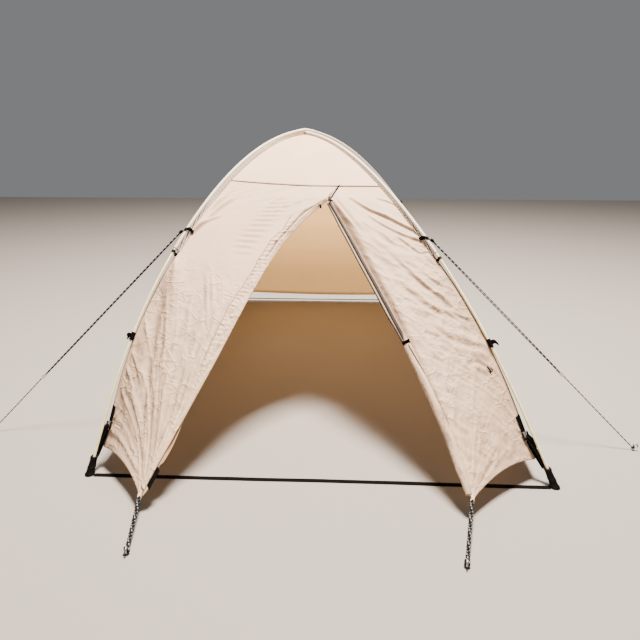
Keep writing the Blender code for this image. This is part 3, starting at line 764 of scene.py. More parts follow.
def makeWall(node, cornerA, cornerB, rows, cols, seed, sides, calm):
    # The lines run straight between the seams at the top and dip towards the hem's middle.
    t, share = lattice(rows, cols)
    u = tent["crown"] + (tent["corner"] - tent["crown"]) * t
    dip = np.sin(np.pi * share)[..., None]
    low = straightRow(cornerA, cornerB, u + (tent["hemLow"] - tent["corner"]) * t ** 3, share)
    grid = straightRow(cornerA, cornerB, u, share) * (1 - dip) + low * dip
    x, y = metricPlaces(grid)
    gap = edgeGaps(x, y)
    hold, slack = smoothStep(gap, 0.0, 0.05), smoothStep(t, 0.30, 0.95)
    relief = -wall["sag"] * np.sin(np.pi * share) * np.sin(np.pi * t) * hold
    relief += calm * wall["crease"] * slack * hold * (creaseNoise(x * 14 + y * 2, y * 2.2, seed) - 0.4)
    relief += calm * wall["crumple"] * hold * (0.3 + slack) * (crumpleRelief(x, y, 0.07, seed + 5) - 0.3)
    for side in (0, -1):
        for place in wall["heldAt"]:
            height = np.interp(place, [0, 1], [y[0, 0], y[-1, 0]])
            row = np.abs(y[:, 0] - height).argmin()
            relief += hold * fanRelief(x, y, (x[row, side], height), *wall["fan"], seed + 9)
    grid = moved(grid, (surfaceNormals(grid), relief))
    # Painted shade in the creases, weaker on the calmer back wall.
    clothSheet(camel(node), grid, (x, y), gap, sides, wall["thickness"], node,
               0.7 * calm * hollowness(grid))


makeWall("side_left", "front_left", "back_left", 122, 122, 21, bothSides, 1.0)
makeWall("side_right", "front_right", "back_right", 122, 122, 33, bothSides, 1.0)
makeWall("back_panel", "back_left", "back_right", 100, 92, 45, [taffetaBack, taffetaBackInner], 0.35)
print("side and back walls made")


# The two front door halves. Places on a door: s from the pole's seam to the free edge, t from top to corner.
door = {
    "zipTopX": 0.043,
    "slider": (0.008, 0.466),           # x, and the place along the front panel's curve
    "corner": {"left": (-0.513, -1.364, 0.050), "right": (0.454, -1.340, 0.055)},
    "bow": {"left": (0.594, -1.116, 0.635), "right": (0.118, -0.069, 0.245)},
    "hemRise": 0.018,
    "zipped": 0.060,        # the share of the edge that the zip still holds
    "seamGap": 0.0005,
    "facets": ((0.3, 0.055, 7, (0.2, 0.6), 1.0), (0.0, 0.024, 8, (0.3, 0.7), 0.5)),
}
doors = {
    # Each fold: points as shares across and down, width, height, end heights. Each fan: spokes, reach,
    # height, seed. Each streak: height, (slant, spacing, length), seed, then where down the door it
    # rises, where it falls and by how much. Each painted shade: strength, rise and fall down, fall across.
    "left": {
        "grid": (320, 124),
        "seed": 60,
        "seamRise": 0.040,      # its top seam climbs a little towards the pole
        "folds": [
            ([(0.0, 0.297), (0.070, 0.238), (0.204, 0.185)], 0.007, 0.0045, (0.7, 0.0)),
            ([(0.0, 0.297), (0.104, 0.163), (0.209, 0.058)], 0.008, 0.0040, (0.7, 0.0)),
            ([(0.0, 0.297), (0.045, 0.133), (0.075, 0.052)], 0.008, 0.0035, (0.7, 0.0)),
            ([(0.005, 0.410), (0.109, 0.473), (0.209, 0.560)], 0.011, 0.0055, (0.8, 0.0)),
            ([(0.428, 0.425), (0.592, 0.503), (0.771, 0.590)], 0.008, 0.0045, (0.0, 0.0)),
            ([(0.493, 0.425), (0.612, 0.480), (0.731, 0.542)], 0.008, 0.0045, (0.0, 0.0)),
            ([(0.134, 0.532), (0.288, 0.685), (0.607, 0.907)], 0.014, 0.0075, (0.0, 0.4)),
            ([(0.0, 0.41), (0.11, 0.473), (0.33, 0.60), (0.52, 0.73), (0.74, 0.87)],
             0.034, 0.0150, (0.2, 0.1)),
        ],
        "fans": [(12, (0.10, 0.95), 0.0095, 0), (27, (0.08, 0.50), 0.0042, 3)],
        "fanRise": (0.34, 0.60),
        "streaks": [(0.0030, (-48, 0.030, 0.16), 11, None, (0.10, 0.20)),
                    (0.0032, (16, 0.050, 0.30), 12, (0.38, 0.55)),
                    (0.0022, (12, 0.022, 0.10), 22, (0.45, 0.62))],
        "crackle": (0.0016, 0.052, (0.46, 0.60), (0.8, 0.95), 0.6),
        "crumple": 0.0012,
        "calmLow": 0.0,
        "loose": 0.25,
        "shades": [(0.08, (0.34, 0.50), None, None), (0.20, (0.36, 0.56), None, (0.12, 0.50))],
        "crisp": 1.0,
    },
    # Folds pulled from the slider and the roll towards the pole's tab and hook, then long slack ones
    "right": {
        "grid": (360, 110),
        "seed": 70,
        "seamRise": 0.0,
        "folds": [
            ([(0.66, 0.07), (0.50, 0.13), (0.313, 0.177), (0.179, 0.23), (0.0, 0.292)],
             0.0065, -0.0072, (0.3, 0.9)),
            ([(0.56, 0.16), (0.418, 0.22), (0.254, 0.275), (0.055, 0.328)], 0.0055, -0.0052, (0.2, 0.9)),
            ([(0.36, 0.27), (0.318, 0.288), (0.234, 0.338), (0.169, 0.365), (0.01, 0.378)],
             0.0042, -0.0036, (0.2, 0.7)),
            ([(0.94, 0.062), (0.886, 0.145), (0.826, 0.235)], 0.007, 0.0050, (0.7, 0.0)),
            ([(0.293, 0.080), (0.139, 0.103), (0.0, 0.140)], 0.0050, -0.0034, (0.0, 0.5)),
            ([(0.721, 0.215), (0.587, 0.285), (0.398, 0.362)], 0.014, 0.0055, (0.0, 0.0)),
            ([(0.60, 0.32), (0.478, 0.415), (0.388, 0.48), (0.303, 0.527), (0.229, 0.578)],
             0.0065, -0.0058, (0.0, 0.3)),
            ([(0.26, 0.585), (0.209, 0.608), (0.129, 0.630), (0.06, 0.642)], 0.0050, -0.0040, (0.2, 0.4)),
            ([(0.32, 0.43), (0.274, 0.46), (0.209, 0.495), (0.129, 0.522)], 0.0050, -0.0038, (0.0, 0.0)),
            ([(0.687, 0.438), (0.622, 0.473), (0.547, 0.505)], 0.0052, -0.0026, (0.0, 0.0)),
            ([(0.582, 0.505), (0.483, 0.545), (0.388, 0.590)], 0.0060, -0.0034, (0.0, 0.0)),
            ([(0.378, 0.573), (0.274, 0.610), (0.169, 0.647)], 0.0055, -0.0034, (0.0, 0.0)),
            ([(0.821, 0.570), (0.697, 0.605), (0.577, 0.638)], 0.0052, -0.0026, (0.0, 0.0)),
            ([(0.751, 0.492), (0.488, 0.583), (0.199, 0.660)], 0.014, 0.0040, (0.0, 0.0)),
            ([(0.751, 0.540), (0.433, 0.633), (0.055, 0.720)], 0.016, 0.0055, (0.0, 0.6)),
            ([(0.607, 0.635), (0.398, 0.693), (0.104, 0.745)], 0.012, 0.0042, (0.0, 0.5)),
            ([(0.448, 0.745), (0.284, 0.763), (0.104, 0.807)], 0.008, 0.0045, (0.0, 0.0)),
        ],
        "fans": [(8, (0.05, 0.32), 0.0055, 4)],
        "fanRise": None,
        "streaks": [(0.0045, (-24, 0.040, 0.20), 11, (0.05, 0.15), (0.60, 0.80), 0.7),
                    (0.0034, (38, 0.045, 0.16), 12, (0.42, 0.62)),
                    (0.0040, (-32, 0.020, 0.080), 21, (0.12, 0.30))],
        "crackle": (0.0010, 0.060, (0.42, 0.62)),
        "crumple": 0.0026,
        "calmLow": 0.60,
        "loose": 0.60,
        "shades": [(0.10, (0.12, 0.34), None, None), (0.22, (0.28, 0.42), (0.60, 0.80), (0.04, 0.36))],
        "crisp": 0.70,
    },
}
# The left door's even gathers near its top, beside the zip
ripple = {
    "height": 0.0013,
    "pitch": 0.026,
    "across": ((0.48, 0.60), (0.68, 0.80)),
    "down": ((0.06, 0.12), (0.28, 0.36)),
}
# The right door's edge is tucked behind its roll: depths and widths of the tuck in metres
tuck = {
    "depths": (0.007, 0.022, 0.008),    # all the way down, above the tie, below it
    "widths": (0.012, 0.015, 0.009),
    "tieFrom": (0.50, 0.60),
    # Painted shade: the dark line in the tuck, how wide it is above and below the tie, and how strong it is
    # below the tie.
    "hollow": (0.011, 0.006),           # how wide the dark line in it is, above and below the tie
    "lowPaintedShade": 0.45,
}


def doorRow(u, x):
    # The point at x on the level line between the two front seams.
    left, right = (seamLine("front_" + side, np.float64(u)) for side in doors)
    return left + (right - left) * ((x - left[0]) / (right[0] - left[0]))


def doorEdge(side, t):
    # Down the zip to its slider, then a slack curve to the staked corner: a straight line plus a bow
    # of s(1 - s)(a + bs + cs^2) to the side.
    t = np.asarray(t, float)[..., None]
    top = doorRow(tent["crossSeam"] + door["seamGap"], door["zipTopX"])
    slider = doorRow(door["slider"][1], door["slider"][0])
    a, b, c = door["bow"][side]
    pull = unit([-1 if side == "left" else 1, 0.3, 0.15])
    zipped = np.clip(t / door["zipped"], 0, 1)
    s = np.clip((t - door["zipped"]) / (1 - door["zipped"]), 0, 1)
    free = slider * (1 - s) + np.array(door["corner"][side]) * s
    free = free + pull * s * (1 - s) * (a + b * s + c * s * s)
    return np.where(t <= door["zipped"], top * (1 - zipped) + slider * zipped, free)


def doorPoint(side, s, t):
    # Straight from the pole's seam to the free edge, drawn up by 4s(1 - s) of the hem's rise.
    s, t = np.broadcast_arrays(np.asarray(s, float), np.asarray(t, float))
    t = t * (1 - door["hemRise"] * 4 * s * (1 - s))
    start = tent["crossSeam"] + door["seamGap"]
    seam = seamLine("front_" + side, start + (tent["corner"] - start) * t)
    free = doorEdge(side, t)
    seam = seam + unit(free - seam) * wall["edgeGap"]
    return seam * (1 - s[..., None]) + free * s[..., None]


def placeFolds(x, y, folds):
    # The sum of the folds, each laid through its points' places on the cloth.
    rows, cols = x.shape
    total = np.zeros_like(x)
    for points, *form in folds:
        s, t = np.array(points, float).T
        i, j = (np.clip(t, 0, 1) * (rows - 1)).astype(int), (np.clip(s, 0, 1) * (cols - 1)).astype(int)
        total += foldRelief(x, y, np.stack([x[i, j], y[i, 0]], -1), *form)
    return total


def makeDoor(side):
    # The door's straight lines, moved outwards by its folds, fans, streaks and facets, each of
    # which grows and fades between given places down the door.
    own = doors[side]
    seed = own["seed"]
    t, s = lattice(*own["grid"])
    grid = doorPoint(side, s, t - own["seamRise"] * (1 - s) ** 1.5 * (1 - t) ** 6)
    x, y = metricPlaces(grid)
    x = x - x[:, :1]
    gap = edgeGaps(x, y)
    hold = smoothStep(gap, 0.0, 0.022)
    low = smoothStep(t, 0.42, 0.62)
    corner = (x[-1, -1], y[-1, 0])
    extra = sum(fanRelief(x, y, corner, *fan, seed + step) for *fan, step in own["fans"])
    extra = extra * window(t, own["fanRise"])
    for height, form, step, *where in own["streaks"]:
        extra = extra + height * streakRelief(x, y, *form, seed + step) * window(t, *where)
    if side == "left":
        wave = 2 * np.pi * (y + 0.25 * x) / ripple["pitch"] + 2.5 * valueNoise(x * 9, y * 9, seed + 2)
        extra += ripple["height"] * np.sin(wave) * window(s, *ripple["across"]) * window(t, *ripple["down"])
    else:
        inside = x[:, -1:] - x
        above = window(t, (0.05, 0.12), tuck["tieFrom"])
        wheres = (smoothStep(t, 0.05, 0.12), above, (1 - above) * low)
        for depth, wide, where in zip(tuck["depths"], tuck["widths"], wheres):
            extra = extra - depth * hump(inside, 0, wide) * where
    height, cell, *where = own["crackle"]
    fine = height * crackleRelief(x, y, cell, seed + 14) * window(t, *where)
    for slant, cell, step, rise, share in door["facets"]:
        facets = share * own["crumple"] * (crumpleRelief(x + slant * y, y, cell, seed + step) - 0.3)
        fine = fine + facets * smoothStep(t, *rise) * (1 - own["calmLow"] * low)
    free = smoothStep(edgeGaps(x, y, ("left", "top", "bottom")), 0.0, 0.022)
    free = free * (own["loose"] + (1 - own["loose"]) * hold)
    relief = placeFolds(x, y, own["folds"]) * smoothStep(gap, -0.004, 0.012) + free * extra + hold * fine
    grid = moved(grid, (surfaceNormals(grid), softened(relief, 1)))
    # Painted shade: in the creases, as a dark line in the right door's tuck, and over the low parts.
    hollow = softened(0.75 * hollowness(grid))
    if side == "right":
        dark, thin = (hump(inside, 0, wide) for wide in tuck["hollow"])
        hollow = np.maximum.reduce([hollow, dark * above, tuck["lowPaintedShade"] * thin * (1 - above)])
    shade = sum(strength * window(t, rise, fall) * window(s, None, across)
                for strength, rise, fall, across in own["shades"])
    hollow = shade + (1 - shade) * hollow       # the low parts get less of the sky
    obj = clothSheet(camel("door_" + side), grid, (x, y), gap, bothSides, wall["thickness"],
                     "door_" + side, hollow)
    pointValues(obj, "crumpled", smoothStep(t, 0.34, 0.50) * own["crisp"])
    return obj, grid


# The upper front panel, above the doors: pulled smooth, its hem lapped over the doors' top edge
canopy = {"lap": 0.0045, "lift": 0.0012, "ripple": 0.0010, "puff": 0.004, "climbs": 0.63}


def makeCanopy():
    # Straight lines between the two front seams, puffed by sin(across) * sin(down).
    t, share = lattice(70, 100)
    climb = doors["left"]["seamRise"] * (tent["corner"] - tent["crossSeam"])
    seam = tent["crossSeam"] + canopy["lap"] - climb * np.clip(1 - share / canopy["climbs"], 0, 1) ** 1.5
    grid = straightRow("front_left", "front_right", tent["crown"] + (seam - tent["crown"]) * t, share)
    x, y = metricPlaces(grid)
    gap = edgeGaps(x, y)
    relief = canopy["ripple"] * smoothStep(gap, 0.0, 0.03) * valueNoise(x * 9, y * 9, 3)
    relief += canopy["lift"] * smoothStep(t, 0.90, 1.0)
    relief += canopy["puff"] * np.sin(np.pi * share) * np.sin(np.pi * t)
    grid = moved(grid, (surfaceNormals(grid), relief))
    clothSheet("frontCanopy", grid, (x, y), gap, bothSides, wall["thickness"],
               "front_canopy")
    return grid


canopyGrid = makeCanopy()
doorCloth, doorGrid = {}, {}
for side in doors:
    doorCloth[side], doorGrid[side] = makeDoor(side)
print("front panels made")


def sampleGrid(grid, s, t):
    # The place on a grid at shares s across and t down it, blended between its four nearest points.
    rows, cols = grid.shape[:2]
    i, j = np.clip(t, 0, 1) * (rows - 1), np.clip(s, 0, 1) * (cols - 1)
    row, col = np.minimum(i.astype(int), rows - 2), np.minimum(j.astype(int), cols - 2)
    a, b = (i - row)[..., None], (j - col)[..., None]
    top = grid[row, col] * (1 - b) + grid[row, col + 1] * b
    return top * (1 - a) + (grid[row + 1, col] * (1 - b) + grid[row + 1, col + 1] * b) * a


def doorLies(side, s, t):
    # On a finished door: the place, its outward normal, and the directions across and down the cloth.
    s, t = np.broadcast_arrays(np.asarray(s, float), np.asarray(t, float))
    across = unit(doorPoint(side, np.minimum(s + 0.02, 1), t) - doorPoint(side, s - 0.02, t))
    down = unit(doorPoint(side, s, np.minimum(t + 0.02, 1)) - doorPoint(side, s, t - 0.02))
    grid = doorGrid[side]
    return sampleGrid(grid, s, t), unit(sampleGrid(surfaceNormals(grid), s, t)), across, down


# The storm flap: a doubled strip sewn along the left door's edge on the outside, wrapped round it.
# The seam's and the bend's places are given as (down the door, across it or across the strip).
flap = {
    "span": (0.004, 0.982),
    "onTop": 0.72,          # the share of the strip that lies on the door, the rest turns round its edge
    "seamAt": [(0.0, 0.770), (0.045, 0.771), (0.20, 0.880), (0.258, 0.866), (0.323, 0.876), (0.362, 0.876),
               (0.422, 0.871), (0.497, 0.845), (0.565, 0.850), (0.65, 0.890), (0.80, 0.905), (1.0, 0.93)],
    "bendAt": [(0.0, 0.985), (0.06, 0.925), (0.09, 0.81), (0.12, 0.62), (0.20, 0.52), (1.0, 0.50)],
    "rowMetres": 0.36,
    "edgeMetres": 1.29,
    "lift": 0.0014,
    "puff": 0.0040,
    "pucker": 0.0060,
    "fold": 0.0045,         # height of the doubled strip's own ridge beside the bend
    "gatherPitch": 0.019,   # metres between the gathers along the sewn line
    "turnRadius": 0.0024,
    "turnBy": 215,
    "thickness": 0.0007,
    "stitch": (0.0011, 0.0006),
}
fold = {
    "span": (0.10, 0.955),
    "reach": 0.38,          # how far it lies back under the door, as a share of the row at the hem
    "gap": 0.0045,
    "peek": 0.013,
    "peekFrom": 0.78,
    "tape": (0.925, 0.971),
    "tapeHalf": (0.0100, 0.0009),
    "tapeUnder": 0.006,     # how far the tape lies behind the door
    "tipEnd": 0.992,
    "tipHalf": (0.0085, 0.0012),
    "tipUnder": 0.005,
    "thickness": 0.0009,
}


def makeFlap():
    # From the sewn line over the door to its edge, then round the edge in an arc.
    t, q = lattice(380, 41, flap["span"])
    seam = np.interp(t, *np.array(flap["seamAt"]).T) + 0.012 * lineNoise(t * 40, 5) * smoothStep(t, 0.1, 0.2)
    onTop = np.clip(q / flap["onTop"], 0, 1)
    turn = np.radians(flap["turnBy"]) * np.clip((q - flap["onTop"]) / (1 - flap["onTop"]), 0, 1)
    place, normal, across, _ = doorLies("left", seam + (1 - seam) * onTop, t)
    x, y = onTop * (1 - seam) * flap["rowMetres"], t * flap["edgeMetres"]
    # Gathers, strongest at the sewn line
    gather = 0.55 * creaseNoise(x * 20 + 3, y * 46, 91) + 0.45 * crumpleRelief(x, y, 0.017, 92)
    phase = (y + 0.4 * x) / flap["gatherPitch"] + 0.45 * valueNoise(y * 30, x * 12, 93)
    sewn = (np.abs(np.sin(np.pi * phase)) - 0.5) * np.exp(-3.2 * onTop)
    edge = np.sin(np.pi * onTop) ** 0.5
    crinkle = edge * window(t, (0.10, 0.22), (0.55, 0.75), 0.75)
    lift = flap["lift"] + flap["puff"] * edge + flap["pucker"] * crinkle * (gather - 0.3 + 1.1 * sewn)
    lift += (flap["turnRadius"] - flap["lift"]) * onTop ** 4
    # Where the doubled strip bends: a groove, and a ridge between it and the edge
    bend = np.interp(t, *np.array(flap["bendAt"]).T) + 0.015 * lineNoise(t * 30, 94)
    strip = 1 - bend
    ridge = hump(onTop, bend + 0.45 * strip, 0.30 * strip) - hump(onTop, bend, 0.18 * strip + 0.02)
    lift += flap["fold"] * window(t, None, (0.26, 0.34)) * ridge
    lift *= 0.15 + 0.85 * smoothStep(t, 0.006, 0.04)
    rise = lift * np.where(q > flap["onTop"], np.cos(turn), 1.0)
    grid = moved(place, (normal, rise), (across, flap["turnRadius"] * np.sin(turn)))
    cut = metricPlaces(grid)
    obj = clothSheet("stormFlap", grid, cut, np.minimum(edgeGaps(*cut, ("left",)), 0.02), bothSides,
                     flap["thickness"])
    pointValues(obj, "crumpled", smoothStep(t, 0.14, 0.24))
    # Stitched lines: along the sewn edge, and along the bend beside the door's top
    lines = []
    for at, first, last in ((np.full(len(bend), 0.03), 54, 262), (bend[:, 0], 3, 120)):
        row = np.arange(first, last)
        column = flap["onTop"] * at[row] * (grid.shape[1] - 1)
        low = column.astype(int)
        share = (column - low)[:, None]
        path = grid[row, low] * (1 - share) + grid[row, low + 1] * share + normal[row, low] * 0.0006
        lines.append(flatBand(path, across[row, low], normal[row, low], *flap["stitch"], 0.0))
    hardPiece("flapStitches", lines, seamBinding)


def makeFold():
    # From the door's edge back under it. Low down it peeks out past the edge.
    t, q = lattice(160, 40, fold["span"])
    place, normal, across, _ = doorLies("left", 1 - fold["reach"] * t * q, t)
    peek = fold["peek"] * smoothStep(t, fold["peekFrom"], 0.89) * window(t, None, (0.905, 0.92), 0.7)
    wave = 0.0030 * valueNoise(t * 22, q * 3, 8) * q + 0.0022 * creaseNoise(t * 30, q * 6, 9)
    back = fold["gap"] + np.maximum(wave, 0) + 0.004 * np.sin(np.pi * q) * t
    aside = peek * (1 - q) ** 2 - 0.003 * window(t, None, (0.6, 0.7)) * (1 - q)
    grid = moved(place, (normal, -back), (across, aside))
    cut = metricPlaces(grid)
    clothSheet("doorFold", grid, cut, edgeGaps(*cut), bothSides[::-1], fold["thickness"],
               "door_fold_left")
    # The black tape sewn to it near the hem, and the cloth's own tip past that tape
    place, normal, across, _ = doorLies("left", 1.0, np.linspace(*fold["tape"], 16))
    middle = place + across * fold["tapeHalf"][0] - normal * fold["tapeUnder"]
    hardPiece("foldTape", [flatBand(middle, across, normal, *fold["tapeHalf"])], webbing)
    t = np.linspace(fold["tape"][1] + 0.002, fold["tipEnd"], 8)
    place, normal, across, _ = doorLies("left", 1.0, t)
    width = np.stack([np.interp(t, [0.966, 0.978, fold["tipEnd"]], [1, 0.9, 0.25]), np.ones(8)], -1)
    middle = place + across * 0.003 - normal * fold["tipUnder"]
    hardPiece("foldTip", [flatBand(middle, across, normal, *fold["tipHalf"], scale=width)], taffetaInner)


makeFlap()
makeFold()


# The right door's spare cloth: rolled along its free edge. Above the tie it is slack, so that the zip
# edge shows beside the roll; below the tie both are wound into one.
roll = {
    "span": (0.070, 0.988),
    "shapeAt": (0.07, 0.30, 0.50, 0.75, 0.93, 1.0),
    "shape": (0.0035, 0.0105, 0.0125, 0.0150, 0.0145, 0.008),
    "tieAt": 0.578,
    "slackShare": 0.34,     # of the whole radius, the roll above the tie
    "turns": 1.55,
    "startAt": 175,         # degrees, where the outermost turn leaves the door
    "edgeMetres": 1.25,
    "sunk": 0.0015,
    "thickness": 0.0008,
    "wrinkle": 0.0011,
    "zipHalf": 0.0036,
    "zipThick": 0.0017,
    "zipGap": 0.0050,       # between the roll and the zip edge beside it
    # Painted shade on the zip edge, as it lies in the shade of the door's edge.
    "zipPaintedShade": 0.62,      # the zip edge lies in the shade of the door's edge
    "coilRadius": 0.0023,
    "coils": ((1, 0.0018, -0.0004, 1.25), (-1, 0.0026, 0.0032, 1.6)),   # side, gap, lift, size
    "woundCoil": 0.0024,
}


def rollFrame(t):
    # At the door's edge: the edge, along it, away from the door, outwards, and the roll's radius.
    t = np.asarray(t, float)
    root = seamLine("front_right", tent["crossSeam"] + (tent["corner"] - tent["crossSeam"]) * t)
    edge = doorEdge("right", t)
    along = unit(doorEdge("right", np.minimum(t + 0.01, 1)) - doorEdge("right", t - 0.01))
    away = unit(edge - root)
    away = unit(away - along * (away * along).sum(-1, keepdims=True))
    out = np.cross(along, away)
    out = np.where(out[..., 1:2] > 0, -out, out)
    radius = np.interp(t, roll["shapeAt"], roll["shape"]) * (1 - 0.22 * hump(t, roll["tieAt"], 0.012))
    return edge, along, away, out, radius


def makeRoll():
    # A spiral round a line beside the door's edge, with its radius falling turn by turn.
    t, q = lattice(360, 51, roll["span"])
    edge, _, away, out, whole = rollFrame(t)
    wound = smoothStep(t, roll["tieAt"] - 0.03, roll["tieAt"] + 0.01)
    radius = whole * (roll["slackShare"] + (1 - roll["slackShare"]) * wound)
    angle = np.radians(roll["startAt"]) + 2 * np.pi * roll["turns"] * q
    y = t * roll["edgeMetres"]
    wrinkle = creaseNoise((angle + 9 * t) * 1.3, y * 17, 31) - 0.45
    wrinkle += 0.5 * (crumpleRelief(angle * 0.012, y, 0.016, 32) - 0.3)
    r = radius + roll["wrinkle"] * wrinkle * (0.5 + 0.5 * wound)
    r *= 1 - 0.42 * smoothStep(q, 0.45, 1.0) - 0.10 * q
    squash = 1 - 0.12 * lineNoise(t * 16, 33)
    grid = moved(edge, (away, radius - roll["sunk"] + r * np.cos(angle)), (out, -r * squash * np.sin(angle)))
    cut = metricPlaces(grid)
    # Painted shade in the roll's wrinkles and over all of it above the tie.
    dark = np.maximum(np.clip(-1.6 * wrinkle, 0, 0.8), 0.95 * (1 - wound))      # deep in shade above the tie
    clothSheet("doorRoll", grid, cut, np.minimum(edgeGaps(*cut, ("bottom",)), 0.02), bothSides,
               roll["thickness"], "door_roll_right", dark)
    # The zip edge beside it: a flattened hem with the coil along both its sides
    t = np.linspace(roll["span"][0], roll["tieAt"] + 0.005, 150)
    edge, _, away, out, whole = rollFrame(t)
    wide = np.minimum(roll["zipHalf"] * np.interp(t, [0.07, 0.16, 0.48, 0.535], [0.45, 1, 1, 0.5]), whole)
    place = moved(edge, (away, whole * 2 * roll["slackShare"] + wide + roll["zipGap"]),
                  (out, -0.0030 - 0.0012 * lineNoise(t * 24, 36)))
    scale = np.stack([wide / roll["zipHalf"], np.interp(t, [0.07, 0.16], [0.6, 1])], -1)
    shape = flatBand(place, away, out, roll["zipHalf"], roll["zipThick"], 0.0, scale)
    hem = hardPiece("zipHem", [shape], taffetaOuter)
    # The zip edge gets even painted shade.
    pointValues(hem, "hollow", np.full(len(hem.data.vertices), roll["zipPaintedShade"]))
    coils = []
    for way, gap, lift, size in roll["coils"]:
        path = moved(place, (away, way * (wide + gap)), (out, lift))
        coils.append(sweptShape(path, away, out, roundProfile(roll["coilRadius"] * size, 8, 1.2)))
    # Below the tie the coil shows as a line that thins out on the roll
    t = np.linspace(roll["tieAt"] + 0.012, 0.82, 60)
    edge, _, away, out, whole = rollFrame(t)
    turn = np.radians(np.interp(t, [0.58, 0.70, 0.82], [95, 128, 150]))
    whole, outside = whole - roll["sunk"], 1.03 * whole
    place = moved(edge, (away, whole + outside * np.cos(turn)), (out, outside * np.sin(turn)))
    thin = bothWays(np.interp(t, [0.59, 0.66, 0.82], [1.0, 0.8, 0.4]))
    coils.append(sweptShape(place, away, out, roundProfile(roll["woundCoil"], 6), thin))
    hardPiece("zipCoil", coils, coilPlastic)


tie = {
    "turn": (-195, 150),    # degrees round the roll, from straight away from the door
    "lift": 0.0019,
    "half": (0.0058, 0.0011),
    "barLift": 0.0045,
    "barHalf": 0.0070,
    "barRadius": 0.0030,
}


def makeTie():
    # The elastic loop round the roll with its small bar.
    edge, along, away, out, radius = (v[0] for v in rollFrame([roll["tieAt"]]))
    turn = np.radians(np.linspace(*tie["turn"], 40))
    centre = edge + away * (radius - roll["sunk"])
    path = centre + (radius + tie["lift"]) * around(turn, away, out)
    path = moved(path, (along, 0.002 * np.sin(turn)))
    loop = flatBand(path, along, unit(path - centre), *tie["half"])
    middle = centre + out * (radius + tie["barLift"]) - away * 0.003
    reach = (away * 0.9 + along * 0.25) * tie["barHalf"]
    bar = cord([middle - reach, middle, middle + reach], tie["barRadius"], 12, 10)
    hardPiece("rollTie", [loop, bar], webbing, "door_toggle")


makeRoll()
makeTie()
print("door edges made")


# Zip above the doors, with its slider, the two loose toggles, and the cross seam
zipper = {
    "tapeHalf": (0.0032, 0.0006),
    "tapeLift": 0.0015,
    "coil": 0.0016,
    "coilLift": 0.0012,
    "inset": 0.0035,
    # The slider's two blocks: lift, step down, half sizes, rounding. Its pull: lift, steps down and aside.
    "blocks": ((0.0030, 0.0, (0.0105, 0.0065, 0.0030), 0.3), (0.0055, 0.001, (0.0055, 0.0022, 0.0018), 0.4)),
    "pull": ((0.0065, 0.003, 0.0), (0.0065, 0.009, 0.004), (0.004, 0.014, 0.013)),
    "pullHalf": (0.0028, 0.0012),
}
toggle = {
    "low": (-0.00906, -0.83041, 0.83283),       # the inner one's two ends, seen through the doorway
    "high": (-0.01227, -0.82714, 0.84445),
    "hook": (0.97, 0.085),
    "radius": 0.0036,
    "outer": (0.169, 0.780),                    # where the outer one lies on the right door
    "outerRadius": 0.0026,
    # From there, down, across and outwards: its two ends and where its cord is sewn on
    "outerSteps": ((-0.012, 0.003, 0.006), (0.012, -0.003, 0.005), (0.0, -0.017, 0.0012)),
    "cord": 0.0011,
}


def makeZip():
    # The closed part of the zip, its slider at the lower end and the slider's pull.
    t = np.linspace(0.0, door["zipped"], 24)
    _, normal, across, down = doorLies("right", 0.985, t)
    middle = doorEdge("right", t) - across * zipper["inset"] + normal * zipper["tapeLift"]
    tape = flatBand(middle, across, normal, *zipper["tapeHalf"])
    top = middle + normal * zipper["coilLift"]
    coil = sweptShape(top, across, normal, roundProfile(zipper["coil"], 8, 0.7))
    hardPiece("zipTape", [tape, coil], webbing)
    end, n, a, d = middle[-1], normal[-1], across[-1], down[-1]
    shapes = [blockShape(end + n * lift + d * on, (d, a, n), half, rounding)
              for lift, on, half, rounding in zipper["blocks"]]
    pull = [end + n * up + d * on - a * aside for up, on, aside in zipper["pull"]]
    shapes.append(band(pull, n, *zipper["pullHalf"], 14))
    hardPiece("zipSlider", shapes, acetal)


def makeToggles():
    # One hangs inside the doorway from the left edge, one on the right panel.
    low, high = np.array(toggle["low"]), np.array(toggle["high"])
    hook = doorPoint("left", *toggle["hook"]) - np.array([0, -0.004, 0])
    shapes = [cord([high, (high + low) / 2, low], toggle["radius"], 8, 10),
              cord([hook, (hook + high) / 2 + [0, 0.004, 0], high * 0.7 + low * 0.3], toggle["cord"], 12)]
    hardPiece("innerToggle", shapes, acetal)
    place, normal, across, down = doorLies("right", *toggle["outer"])
    top, end, anchor = (moved(place, *zip((down, across, normal), step)) for step in toggle["outerSteps"])
    shapes = [cord([top, (top + end) / 2, end], toggle["outerRadius"], 10, 10)]
    for lift in (0.002, -0.003):
        middle = (anchor + place) / 2 + normal * 0.005 - down * lift
        shapes.append(cord([anchor - down * lift, middle, place + normal * 0.0062 - down * lift * 0.4],
                           toggle["cord"], 12))
    hardPiece("panelToggle", shapes, acetal)


def makeCrossSeam():
    # The lapped seam's own stitched edge, along the upper panel's hem.
    normal = surfaceNormals(canopyGrid)[-1]
    down = unit(canopyGrid[-1] - canopyGrid[-3])
    path = canopyGrid[-1] + normal * 0.0004 + down * 0.0008
    hardPiece("crossSeam", [flatBand(path, down, normal, 0.0012, 0.0009, 0.0)], seamBinding)


makeCrossSeam()
makeZip()
makeToggles()


# Poles and sleeves
pole = {"joint": 0.46, "ferrule": (0.014, 0.018), "wider": 0.07, "footZ": 0.0155}


